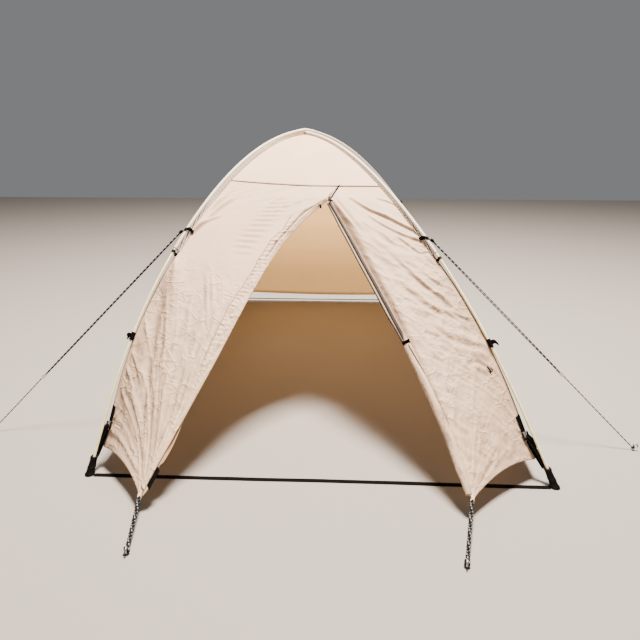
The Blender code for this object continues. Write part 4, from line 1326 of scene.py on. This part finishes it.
def makePole(node, front, back):
    # One tube from foot to foot over the crown.
    share = np.linspace(1, 0, 150)
    first, second = (poleMiddle(corner, share * placeAtHeight(corner, pole["footZ"]))
                     for corner in (front, back))
    path = np.concatenate([first, second[::-1][1:]])
    # Each joint's sleeve between two sections is a little wider
    length = lengthAlong(path) - lengthAlong(path)[-1] / 2
    joint = np.abs((length + pole["joint"] / 2) / pole["joint"] % 1 - 0.5) * pole["joint"]
    wide = 1 + pole["wider"] * window(joint, None, pole["ferrule"])
    shape = tube(path, roundProfile(tent["poleRadius"], 16), scale=bothWays(wide))
    return nodePiece(node, [shape], ivoryPole)


poleUpper = makePole("pole_upper", "front_left", "back_right")
poleLower = makePole("pole_lower", "front_right", "back_left")

sleeve = {
    "radius": 0.0062,
    "thickness": 0.0006,
    "foot": 0.0095,         # how far out on each panel it is sewn, from the seam
    "arc": (0.34, 0.66),    # the share of its width that goes round the pole
    "pucker": 0.0010,
    "puckerPitch": 0.012,
    "pleat": 0.0060,
    "pleatFrom": 0.47,
    "pleatPitch": 0.037,
    "halfPole": 1.39,
    "grid": {"front": (340, 28), "back": (220, 22)},
}
crown = {"reach": 0.047, "radius": 0.0074, "ripple": 0.0006}


def sleeveFeet(corner, u):
    # Where a sleeve is sewn on the front or back panel and on the side wall: on the side that the
    # pole's own sideways direction points to, then on the other side.
    across = poleFrame(corner, u)[1]
    root = seamLine(corner, u)
    end, way = corner.split("_")
    panel = seamLine(end + ("_left" if way == "right" else "_right"), u)
    side = seamLine(("back_" if end == "front" else "front_") + way, u)
    wide = sleeve["foot"] * (0.25 + 0.75 * smoothStep(u, 0.03, 0.22))
    feet = [moved(root, (unit(to - root), wide)) for to in (panel, side)]
    panelIsAcross = ((panel - root) * across).sum(-1, keepdims=True) > 0
    return np.where(panelIsAcross, *feet), np.where(panelIsAcross, *feet[::-1])


def sleeveSection(centre, across, out, q, radius, feet, push):
    # From one sewn foot straight up to the pole, round it, and down to the other foot.
    start, end = sleeve["arc"]
    angle = np.radians(205 - 230 * np.clip((q - start) / (end - start), 0, 1))
    leg = np.maximum(np.clip((start - q) / start, 0, 1), np.clip((q - end) / (1 - end), 0, 1))
    over = moved(centre, (across, radius * np.cos(angle)), (out, radius * np.sin(angle)))
    foot = np.where((q > 0.5)[..., None], *feet) + out * 0.0008
    bulge = push * np.sqrt(np.sin(np.pi * leg))
    return moved(over, (foot - over, leg), (across, 0.8 * np.sign(q - 0.5) * bulge), (out, 0.6 * bulge))


def legShade(u, q):
    # The legs of a sleeve get painted shade, as they lie in its own shade, with a dark stitched line
    # at their foot. Near the crown that line lies right under the pole.
    side = np.abs(q - 0.5)
    low = smoothStep(u, 0.06, 0.34)
    shade = 0.09 * low * window(side, (0.15, 0.24), (0.38, 0.44), 0.8)
    return shade + (0.50 + 0.35 * low) * hump(side, 0.25 + 0.24 * low, 0.024)


def sleeveSheet(name, grid, centre, node, dark):
    # Sleeve cloth thickened towards the pole's line.
    # dark is painted shade for the sleeve's colour.
    cut = metricPlaces(grid)
    clothSheet(name, grid, cut, edgeGaps(*cut), [taffetaSleeve], sleeve["thickness"], node, dark,
               centre=centre)


def makeSleeve(corner, seed):
    # The sleeve's section along the pole, its legs pushed out by puckers and, lower down, drawn
    # in by slanted pleats.
    u, q = lattice(*sleeve["grid"][corner.split("_")[0]], tent["sleeve"])
    _, across, out = poleFrame(corner, u)
    centre = poleMiddle(corner, u)
    side = np.abs(q - 0.5)
    x, y = u * sleeve["halfPole"], side * 0.06
    push = sleeve["pucker"] * (creaseNoise(x * 26, y * 22 + seed, seed) - 0.35)
    phase = 2 * np.pi * x / sleeve["puckerPitch"] + 3 * valueNoise(x * 30, y, seed)
    push += 0.5 * sleeve["pucker"] * np.sin(phase)
    slant = (x - 3.2 * y) / sleeve["pleatPitch"] + 0.35 * valueNoise(x * 14, y * 4, seed + 1)
    pleats = np.abs(np.sin(np.pi * slant)) ** 2.5 * smoothStep(u, sleeve["pleatFrom"], 0.54)
    push -= sleeve["pleat"] * pleats
    grid = sleeveSection(centre, across, out, q, sleeve["radius"], sleeveFeet(corner, u), push)
    node = "sleeve_" + corner
    # Painted shade on its legs and in the bottoms of its pleats.
    sleeveSheet(camel(node), grid, centre, node,
                np.maximum(legShade(u, q), pleats * window(side, (0.17, 0.22), (0.30, 0.38))))


def makeCrownStrip(name, front, back, node):
    # The cover over the crossing: the two sleeves' own shape, carried on over the crown.
    v, q = lattice(48, 34, (-1, 1))
    u = np.abs(v) * crown["reach"]
    halves = []
    for corner, way in ((front, -1), (back, 1)):
        _, across, out = poleFrame(corner, u)
        feet = sleeveFeet(corner, np.maximum(u, 0.012))
        halves.append((poleMiddle(corner, u), across * way, out, *feet[::way]))
    centre, across, out, *feet = (np.where((v < 0)[..., None], *pair) for pair in zip(*halves))
    push = crown["ripple"] * valueNoise(v * 9, q * 7, 140)
    grid = sleeveSection(centre, across, out, q, crown["radius"], feet, push)
    # Painted shade on its legs.
    sleeveSheet(name, grid, centre, node, legShade(u, q))


for number, corner in enumerate(corners):
    makeSleeve(corner, 110 + 10 * number)
makeCrownStrip("crownPatch", "front_left", "back_right", "crown_patch")
makeCrownStrip("crownUnderStrip", "front_right", "back_left", None)
print("poles and sleeves made")


# What holds the cloth to the poles and the ground
fitting = {
    "tabRadius": 0.00805,
    "tabSlant": 0.0170,     # how far the line draws the tab's outer end down the pole
    "tabHalf": (0.0060, 0.0008),
    "tabWidths": (1.25, 1.2, 1.0, 0.9, 0.85, 0.7),
    # Blocks: half sizes and rounding
    "knot": ((0.0062, 0.0046, 0.0042), 0.5),
    "knotEnd": ((0.0042, 0.0036, 0.0034), 0.5),
    "hookRadius": 0.0058,
    "hookTurn": (-55, 235),     # degrees round the pole
    "hookHalf": (0.0052, 0.0012, 0.2),
    "hookNeck": ((0.0062, 0.0050, 0.0022), 0.15),
    "hookPad": ((0.0068, 0.0062, 0.0013), 0.25),
    "wrapRadius": 0.0066,
    "wrapLap": 0.0006,
    "wrapSpan": (0.8025, 0.8155),
    "wrapTail": {"front_left": 0.012, "front_right": 0.030},
    "wrapTailHalf": (0.0058, 0.0009),
    "wrapTailWidths": (1.5, 1.2, 0.8, 0.5),
}


def panelSide(corner, u):
    # At a half pole's seam: the direction along the front or back cloth and that cloth's outer side.
    along, _, out = poleFrame(corner, u)
    root = seamLine(corner, u)
    end, way = corner.split("_")
    if end == "front":
        target = doorEdge(way, (u - tent["crossSeam"]) / (tent["corner"] - tent["crossSeam"]))
    else:
        target = seamLine("back_right" if way == "left" else "back_left", u)
    ruling = unit(target - root)
    normal = unit(np.cross(along, ruling))
    normal = np.where((normal * out).sum(-1, keepdims=True) < 0, -normal, normal)
    return root, ruling, normal


def tabEye(corner):
    # The knot hangs outside the sleeve, drawn down the pole by the line.
    u = tent["tab"][corner.split("_")[1]]
    along, across, out = poleFrame(corner, u)
    away = towardsSide(across, corner)
    return poleMiddle(corner, u) + out * 0.0095 + away * 0.0090 + along * fitting["tabSlant"]


def makeTab(corner):
    # Webbing from the panel's seam over the sleeve, slanting down the pole to the line's knot.
    u = tent["tab"][corner.split("_")[1]]
    along, across, out = poleFrame(corner, u)
    centre, eye = poleMiddle(corner, u), tabEye(corner)
    away = towardsSide(across, corner)
    root, ruling, normal = panelSide(corner, u)
    over = centre + fitting["tabRadius"] * around(np.radians(np.linspace(200, 20, 11)), away, out)
    over = moved(over, (along, np.linspace(-0.55, 0.65, 11) * fitting["tabSlant"]))
    start = root - along * fitting["tabSlant"] * 0.8 + normal * 0.0022
    path = smoothPath([start + ruling * 0.012, start + ruling * 0.007 + normal * 0.0016, *over,
                       eye - away * 0.001, eye + away * 0.003 + along * 0.004], 60)
    forwards = unit(np.gradient(path, axis=0))
    sideways = unit(along - forwards * (forwards @ along)[:, None])
    outwards = unit(np.cross(sideways, forwards))
    outwards = outwards * np.sign((outwards * (path - centre)).sum(-1, keepdims=True) + 1e-9)
    scale = np.stack([spread(fitting["tabWidths"], 60), np.ones(60)], -1)
    knot = unit(np.cross(along, away))
    shapes = [
        flatBand(path, sideways, outwards, *fitting["tabHalf"], scale=scale),
        blockShape(eye, (unit(along + away), unit(along - away), knot), *fitting["knot"]),
        blockShape(eye + along * 0.006 + away * 0.002, (along, away, knot), *fitting["knotEnd"]),
    ]
    nodePiece("guy_tab_" + corner, shapes, webbing)


def makeHook(corner):
    # A moulded clip that snaps on the pole, on a short web sewn at the seam.
    u = tent["hook"][corner.split("_")[1]]
    along, across, out = poleFrame(corner, u)
    centre, seam = poleMiddle(corner, u), seamLine(corner, u)
    turn = np.radians(np.linspace(*fitting["hookTurn"], 30))
    ring = centre + fitting["hookRadius"] * around(turn, across, out)
    middle = (centre - out * 0.006 + seam) / 2 + out * 0.001
    shapes = [
        flatBand(ring, along, unit(ring - centre), *fitting["hookHalf"]),
        blockShape(middle, (out, along, across), *fitting["hookNeck"]),
        blockShape(seam + out * 0.002, (across, along, out), *fitting["hookPad"]),
    ]
    nodePiece("pole_hook_" + corner, shapes, acetal)


def makeWrap(corner):
    # A hook and loop strap closed round the pole and down to the seam, with its free tail.
    u = np.linspace(*fitting["wrapSpan"], 7)
    along, across, out = poleFrame(corner, u)
    centre = poleMiddle(corner, u)
    drop = ((centre - seamLine(corner, u)) * out).sum(-1)
    turn = np.radians(np.linspace(-48, 228, 31))
    radius = fitting["wrapRadius"] + fitting["wrapLap"] * smoothStep(turn, np.radians(40), np.radians(60))
    side = np.append(radius * np.cos(turn), [-0.0022, 0.0022])
    rise = np.append(radius * np.sin(turn), [0, 0]) + np.zeros((7, 1))
    rise[:, -2:] = (0.001 - drop)[:, None]
    grid = moved(centre[:, None], (across[:, None], side), (out[:, None], rise))
    shapes = [closedShape(grid, np.stack(lattice(7, 33, (0, 0.028), (0, 0.06))[::-1], -1))]
    reach = fitting["wrapTail"].get(corner)
    if reach:
        on, up = along[3], out[3]
        way = towardsSide(across[3], corner)
        start = centre[3] + up * 0.0075 + way * 0.001
        tail = [start, start + way * 0.009 + up * 0.003, start + way * reach * 0.7 + on * 0.006,
                start + way * reach + on * 0.014 - up * 0.004]
        shapes.append(band(tail, on * 0.3 + up, *fitting["wrapTailHalf"], 24, fitting["wrapTailWidths"]))
    nodePiece("pole_wrap_" + corner, shapes, webbing)


strap = {
    "web": 0.0009,
    "half": 0.010,
    "fromSeam": 0.0085,
    "offCloth": 0.0008,
    "span": (0.910, 0.930),
    "lockAt": 0.936,
    "foot": (0.049, 0.0150),        # height, and how far in from the pole
    "bars": ((-0.0120, 0.0), (-0.0035, 0.0015), (0.0045, -0.0005), (0.0125, 0.0015)),
    "strands": ((-0.0022, 0.0), (0.0026, 0.0055)),      # above the line to the foot, and more midway
    "tail": ((0.004, -0.004, 0.0), (0.010, 0.008, 0.004), (0.012, 0.026, 0.012), (0.007, 0.046, 0.018)),
}


def strapPlace(corner, u, lift):
    # Beside the seam where the corner strap is sewn, lifted off the cloth.
    root, ruling, normal = panelSide(corner, u)
    return root + ruling * strap["fromSeam"] + normal * (lift + strap["offCloth"])


def makeCornerStrap(corner):
    # Webbing sewn on the panel's edge, a ladder lock, and the doubled strap drawn to the foot.
    high, inwards = strap["foot"]
    u = placeAtHeight(corner, high)
    foot = poleMiddle(corner, u) + unit(poleFrame(corner, u)[0] * np.array([-1, -1, 0])) * inwards
    u = np.linspace(*strap["span"], 12)
    _, ruling, normal = panelSide(corner, u)
    shapes = [flatBand(strapPlace(corner, u, strap["web"]), ruling, normal, strap["half"], strap["web"])]
    before, lockAt, after = (strapPlace(corner, strap["lockAt"] + step, 0.0035)
                             for step in (-0.008, 0, 0.008))
    axis = unit(after - before)
    side = unit(np.cross(normal[-1], axis))
    lift = np.cross(axis, side)
    lift = lift if lift @ normal[-1] > 0 else -lift
    rails = [blockShape(lockAt + side * way * 0.0118, (axis, side, lift), (0.0135, 0.0021, 0.0030), 0.3)
             for way in (-1, 1)]
    bars = [blockShape(lockAt + axis * on + lift * up, (side, axis, lift), (0.0125, 0.0016, 0.0016), 0.1)
            for on, up in strap["bars"]]
    hardPiece(camel("strap_lock_" + corner), rails, acetal)
    # The bars are grey, a painted highlight on their ridges.
    hardPiece(camel("strap_lock_bars_" + corner), bars, acetalPaintedHighlight)
    begin = lockAt + axis * 0.004
    half = unit(foot - lockAt) * np.linalg.norm(foot - begin) * 0.5
    for offset, sway in strap["strands"]:
        strand = [begin + lift * (offset + 0.002), begin + half + lift * (offset + sway),
                  foot + lift * (offset * 0.8 + 0.001)]
        shapes.append(band(strand, lift, strap["half"] * 0.80, strap["web"], 26, (1.2, 1.1, 1.0, 0.9)))
    way = towardsSide(side, corner)
    tail = [lockAt + lift * up + axis * on + way * aside for up, on, aside in strap["tail"]]
    shapes.append(band(tail, lift, strap["half"] * 0.78, strap["web"], 26, (1.0, 1.0, 1.0, 0.75)))
    nodePiece("corner_strap_" + corner, shapes, webbing)


socket = {
    # (height, radius) up the outside: flared foot, waist with ribs, thick lip; then down the hole's inside
    "outside": [(0, 0.0152), (0.0012, 0.0160), (0.006, 0.0160), (0.009, 0.0138), (0.020, 0.0130),
                (0.022, 0.0138), (0.025, 0.0138), (0.027, 0.0127), (0.046, 0.0115), (0.049, 0.0128),
                (0.054, 0.0128), (0.055, 0.0118)],
    "inside": [(0.055, 0.0072), (0.052, 0.0058), (0.03, 0.0055), (0.0155, 0.0052), (0.0150, 0.0008)],
    "footRadius": 0.0160,
}
ground = {"clear": 0.0022, "high": 0.0010, "half": 0.010, "thick": 0.0009}


def makeSocket(corner):
    # A moulded cup round the pole's end, which leans with the pole.
    levels, radii = np.array(socket["outside"] + socket["inside"]).T
    turn = np.linspace(0, 2 * np.pi, 32, endpoint=False)
    centre = poleMiddle(corner, placeAtHeight(corner, np.maximum(levels, 0.002)))
    centre[:, 2] = levels
    grid = centre[:, None] + radii[:, None, None] * np.stack([np.cos(turn), np.sin(turn), 0 * turn], -1)
    uv = np.stack(np.broadcast_arrays(np.linspace(0, 0.1, 32), levels[:, None]), -1)
    nodePiece("foot_socket_" + corner, [closedShape(grid, uv)], acetal)


def makeGroundStrap(node, side):
    # Webbing on the ground between two sockets, with a slight waver.
    x = np.linspace(-0.5, 0.5, 90) * (tent["width"] - 2 * socket["footRadius"] - ground["clear"])
    y = side * tent["depth"] / 2 + 0.0016 * lineNoise(x * 5, 51)
    path = np.stack([x, y, ground["high"] + 0.0010 * np.maximum(lineNoise(x * 7, 52), 0)], -1)
    nodePiece(node, [tube(path, webProfile(ground["half"], ground["thick"]))], webbing)


for make in (makeTab, makeHook, makeWrap, makeCornerStrap, makeSocket):
    for corner in corners:
        make(corner)
makeGroundStrap("ground_strap_front", -1)
makeGroundStrap("ground_strap_back", 1)
print("fittings made")


# Guylines, door cords and pegs
line = {
    # Pegs: x and y on the ground
    "pegs": {"front_left": (-1.238, -0.888), "front_right": (1.103, -0.908),
             "back_left": (-0.727, 1.432), "back_right": (0.573, 1.432)},
    "doorPegs": {"left": (-0.486, -1.551), "right": (0.403, -1.557)},
    "runnerAt": {"left": 0.73, "right": 0.65},
    "radius": 0.0020,
    "spread": 0.0021,       # how far apart the two strands above a runner lie
    "cordRadius": 0.0030,
    "cordTwist": 0.0033,
    "cordPitch": 0.032,
    "holdZ": 0.012,
    "turns": 2.4,           # round a peg
    "sag": 0.004,           # of the slacker of the two strands
    "knot": (0.0042, 0.0032, 0.0030),
    # The knot's short end: steps back along the line and outwards
    "knotEnd": ((0.0, 0.0), (0.008, 0.006), (0.012, 0.016)),
    "cornerLoop": (0.0055, 0.0008),
}
runner = {
    "half": (0.0135, 0.0062),
    "rims": ((-0.0021, 0.86), (-0.0016, 1.0), (0.0016, 1.0), (0.0021, 0.86)),   # height, share of its size
    "eyeAt": 0.0080,
    "eyeRadius": 0.0026,
}
tentPeg = {"radius": 0.0025, "high": 0.024, "hook": 0.007}
upwards = np.array([0.0, 0.0, 1.0])


def levelTowards(start, end):
    # The level direction from start to end.
    return unit((end - start) * np.array([1, 1, 0]))


def pegHold(peg, source):
    # Where a line leaves its peg, on the side that faces its source.
    foot = np.array([*peg, 0.0])
    return foot + levelTowards(foot, source) * (tentPeg["radius"] + 0.0016) + upwards * line["holdZ"]


def makePeg(node, peg, source):
    # The head of a wire peg: its shank out of the ground, hooked over away from the tent.
    foot = np.array([*peg, 0.0])
    level = levelTowards(source, foot)
    neck = foot + upwards * (tentPeg["high"] - tentPeg["hook"])
    bend = neck + tentPeg["hook"] * (level + around(np.radians(np.linspace(10, 215, 22)), -level, upwards))
    path = np.concatenate([[foot, foot * 0.5 + neck * 0.5, neck], bend])
    sideways = np.cross(upwards, level)
    out = np.cross(unit(np.gradient(path, axis=0)), sideways)
    nodePiece(node, [sweptShape(path, sideways, out, roundProfile(tentPeg["radius"], 14))], pegWire)


def lashing(peg, toLine, radius):
    # The line's own loop round a peg, a short coil.
    turn = np.linspace(0, 2 * np.pi * line["turns"], int(26 * line["turns"]))
    start = np.arctan2(toLine[1], toLine[0])
    ring = tentPeg["radius"] + radius + 0.0001
    path = np.stack([peg[0] + ring * np.cos(turn + start), peg[1] + ring * np.sin(turn + start),
                     line["holdZ"] + (turn / (2 * np.pi) - line["turns"] / 2) * radius * 2.1], -1)
    return tube(path, roundProfile(radius, 8))


def makeGuyline(corner):
    # Two strands from the tab's knot to the runner, then one to the peg.
    radius = line["radius"]
    peg = line["pegs"][corner]
    start = tabEye(corner)
    end = pegHold(peg, start)
    along = unit(end - start)
    level = unit(np.cross(upwards, along))
    across, out = np.cross(along, level), -level        # the two strands lie one above the other
    start = start + along * 0.0012
    share = line["runnerAt"][corner.split("_")[1]]
    middle = start * (1 - share) + end * share
    s = np.linspace(0, 1, 60)
    bulge = line["spread"] * np.sin(np.pi * np.clip(s * 0.93 + 0.03, 0, 1)) ** 0.35
    base = moved(start, (middle + along * 0.010 - start, s))
    shapes = []
    for way, sag in ((-1, 0.0), (1, line["sag"])):
        path = moved(base, (across, way * bulge), (out, -sag * np.sin(np.pi * s)))
        shapes.append(tube(path, roundProfile(radius, 8)))
    shapes.append(cord([middle + across * line["spread"] * 0.4, middle * 0.5 + end * 0.5, end], radius, 40))
    shapes.append(lashing(peg, start - end, radius))
    # The stopper knot and its short end, beside the runner
    knot = middle - along * 0.012 + out * 0.003
    shapes.append(blockShape(knot, (along, across, out), line["knot"], 0.5))
    tail = [knot - along * back + out * up for back, up in line["knotEnd"]]
    shapes.append(cord(tail, radius, 12))
    nodePiece("guyline_" + corner, shapes, guyCord)
    makeRunner(corner, middle, along, across, out)
    makePeg("guy_peg_" + corner, peg, start)


def makeRunner(corner, middle, along, across, out):
    # A pressed metal bar along the line, a superellipse in outline, with a raised eye at each end.
    turn = np.linspace(0, 2 * np.pi, 28, endpoint=False)
    x, y = (half * np.sign(f) * np.abs(f) ** power
            for half, f, power in zip(runner["half"], (np.cos(turn), np.sin(turn)), (0.7, 0.8)))
    grid = np.array([moved(middle + out * lift, (along, x * shrink), (across, y * shrink))
                     for lift, shrink in runner["rims"]])
    shapes = [closedShape(grid, np.zeros((*grid.shape[:2], 2)))]
    for way in (-1, 1):
        path = middle + along * way * runner["eyeAt"] + out * 0.0020
        path = path + runner["eyeRadius"] * around(np.radians(np.linspace(0, 360, 17)), along, across)
        shapes.append(sweptShape(path, unit(path - path.mean(0)), out, roundProfile(0.0009, 8)))
    nodePiece("runner_" + corner, shapes, runnerAlloy)


def makeDoorCord(side):
    # Two strands twisted round each other from the door's corner to its peg.
    corner = np.array(door["corner"][side])
    peg = line["doorPegs"][side]
    end = pegHold(peg, corner)
    along = unit(end - corner)
    start = corner - along * 0.004
    length = np.linalg.norm(end - start)
    across = unit(np.cross(upwards, along))
    out = np.cross(along, across)
    s = np.linspace(0, 1, 180)
    shapes = []
    for phase in (0, np.pi):
        turn = 2 * np.pi * s * length / line["cordPitch"] + phase
        path = moved(start, (along, s * length)) + line["cordTwist"] * around(turn, across, out)
        shapes.append(tube(path, roundProfile(line["cordRadius"], 8), (0.1, 0.2, 1.0)))
    shapes.append(lashing(peg, start - end, line["cordRadius"]))
    nodePiece("door_cord_" + side, shapes, doorCordBraid)
    # The loop of cloth at the door's corner that the cord is tied to
    loop = [corner - along * 0.022 + out * 0.0015, corner + out * 0.0028, corner + along * 0.004,
            corner - out * 0.0028, corner - along * 0.020 - out * 0.002]
    hardPiece(camel("corner_loop_" + side), [band(loop, upwards, *line["cornerLoop"], 24)], taffetaOuter)
    makePeg("door_peg_" + side, peg, corner)


for corner in corners:
    makeGuyline(corner)
for side in doors:
    makeDoorCord(side)
print("lines and pegs made")


# Floor, light and camera. Each light: name, place, what it looks at, size and power.
studio = {
    "floor": "8A8782",
    "sky": "F2F4F7",
    "skyStrength": 0.23,
    "lightColour": "FFEDDF",
    "lights": [("keyLight", (0.5, -0.40, 5.9), (0, 0, 0.4), 1.3, 2250.0),
               ("backLight", (0.2, 3.6, 5.2), (0, 0.3, 0.4), 3.0, 230.0)],
}
# The camera that the photo was taken with, fitted to the poles; its place is in the layout's own frame
camera = {"place": (0.089, -2.872, 1.0435), "focalPx": 600.0, "pitch": 16.44, "yaw": -2.82, "roll": 0.08}


def putInPlace(obj, axes, place):
    # The object's own x, y and z lie along the three axes.
    rows = [[*axis, along] for axis, along in zip(np.stack(axes, 1), place)]
    obj.matrix_world = Matrix(rows + [[0, 0, 0, 1]])
    bpy.context.scene.collection.objects.link(obj)


def addLight(name, place, target, size, power):
    # A square area light that looks at its target.
    data = bpy.data.lights.new(name, "AREA")
    data.shape, data.size, data.energy = "SQUARE", size, power
    data.color = linear(studio["lightColour"])[:3]
    light = bpy.data.objects.new(name, data)
    forwards = unit(np.subtract(target, place))
    right = unit(np.cross(forwards, upwards))
    putInPlace(light, (right, np.cross(right, forwards), -forwards), place)


def addCamera():
    # Turned by yaw round the upright, tipped down by pitch, then rolled.
    pitch, yaw, tilt = (np.radians(camera[key]) for key in ("pitch", "yaw", "roll"))
    forwards = np.array([np.sin(yaw) * np.cos(pitch), np.cos(yaw) * np.cos(pitch), -np.sin(pitch)])
    level = np.array([np.cos(yaw), -np.sin(yaw), 0.0])
    above = np.cross(level, forwards)
    right = np.cos(tilt) * level + np.sin(tilt) * above
    up = -np.sin(tilt) * level + np.cos(tilt) * above
    lens = bpy.data.cameras.new("photoCamera")
    lens.sensor_width = 36.0
    lens.lens = 36.0 * camera["focalPx"] / 640
    photoCamera = bpy.data.objects.new("photoCamera", lens)
    putInPlace(photoCamera, (right, up, -forwards), camera["place"] + layoutOrigin)
    bpy.context.scene.camera = photoCamera


# Plain matt studio paper: takes soft shadows and adds nothing of its own
studioPaper, _, paperShader = newMaterial("studioPaper", 0.9)
paperShader.inputs["Base Color"].default_value = linear(studio["floor"])
floor = newObject("studioFloor", [[-9, -9, 0], [9, -9, 0], [9, 9, 0], [-9, 9, 0]], [[0, 1, 2, 3]])
floor.data.materials.append(studioPaper)
for settings in studio["lights"]:
    addLight(*settings)
world = bpy.data.worlds.new("studioSky")
world.use_nodes = True
world.node_tree.nodes["Background"].inputs["Color"].default_value = linear(studio["sky"])
world.node_tree.nodes["Background"].inputs["Strength"].default_value = studio["skyStrength"]
bpy.context.scene.world = world
addCamera()
print("stage set")
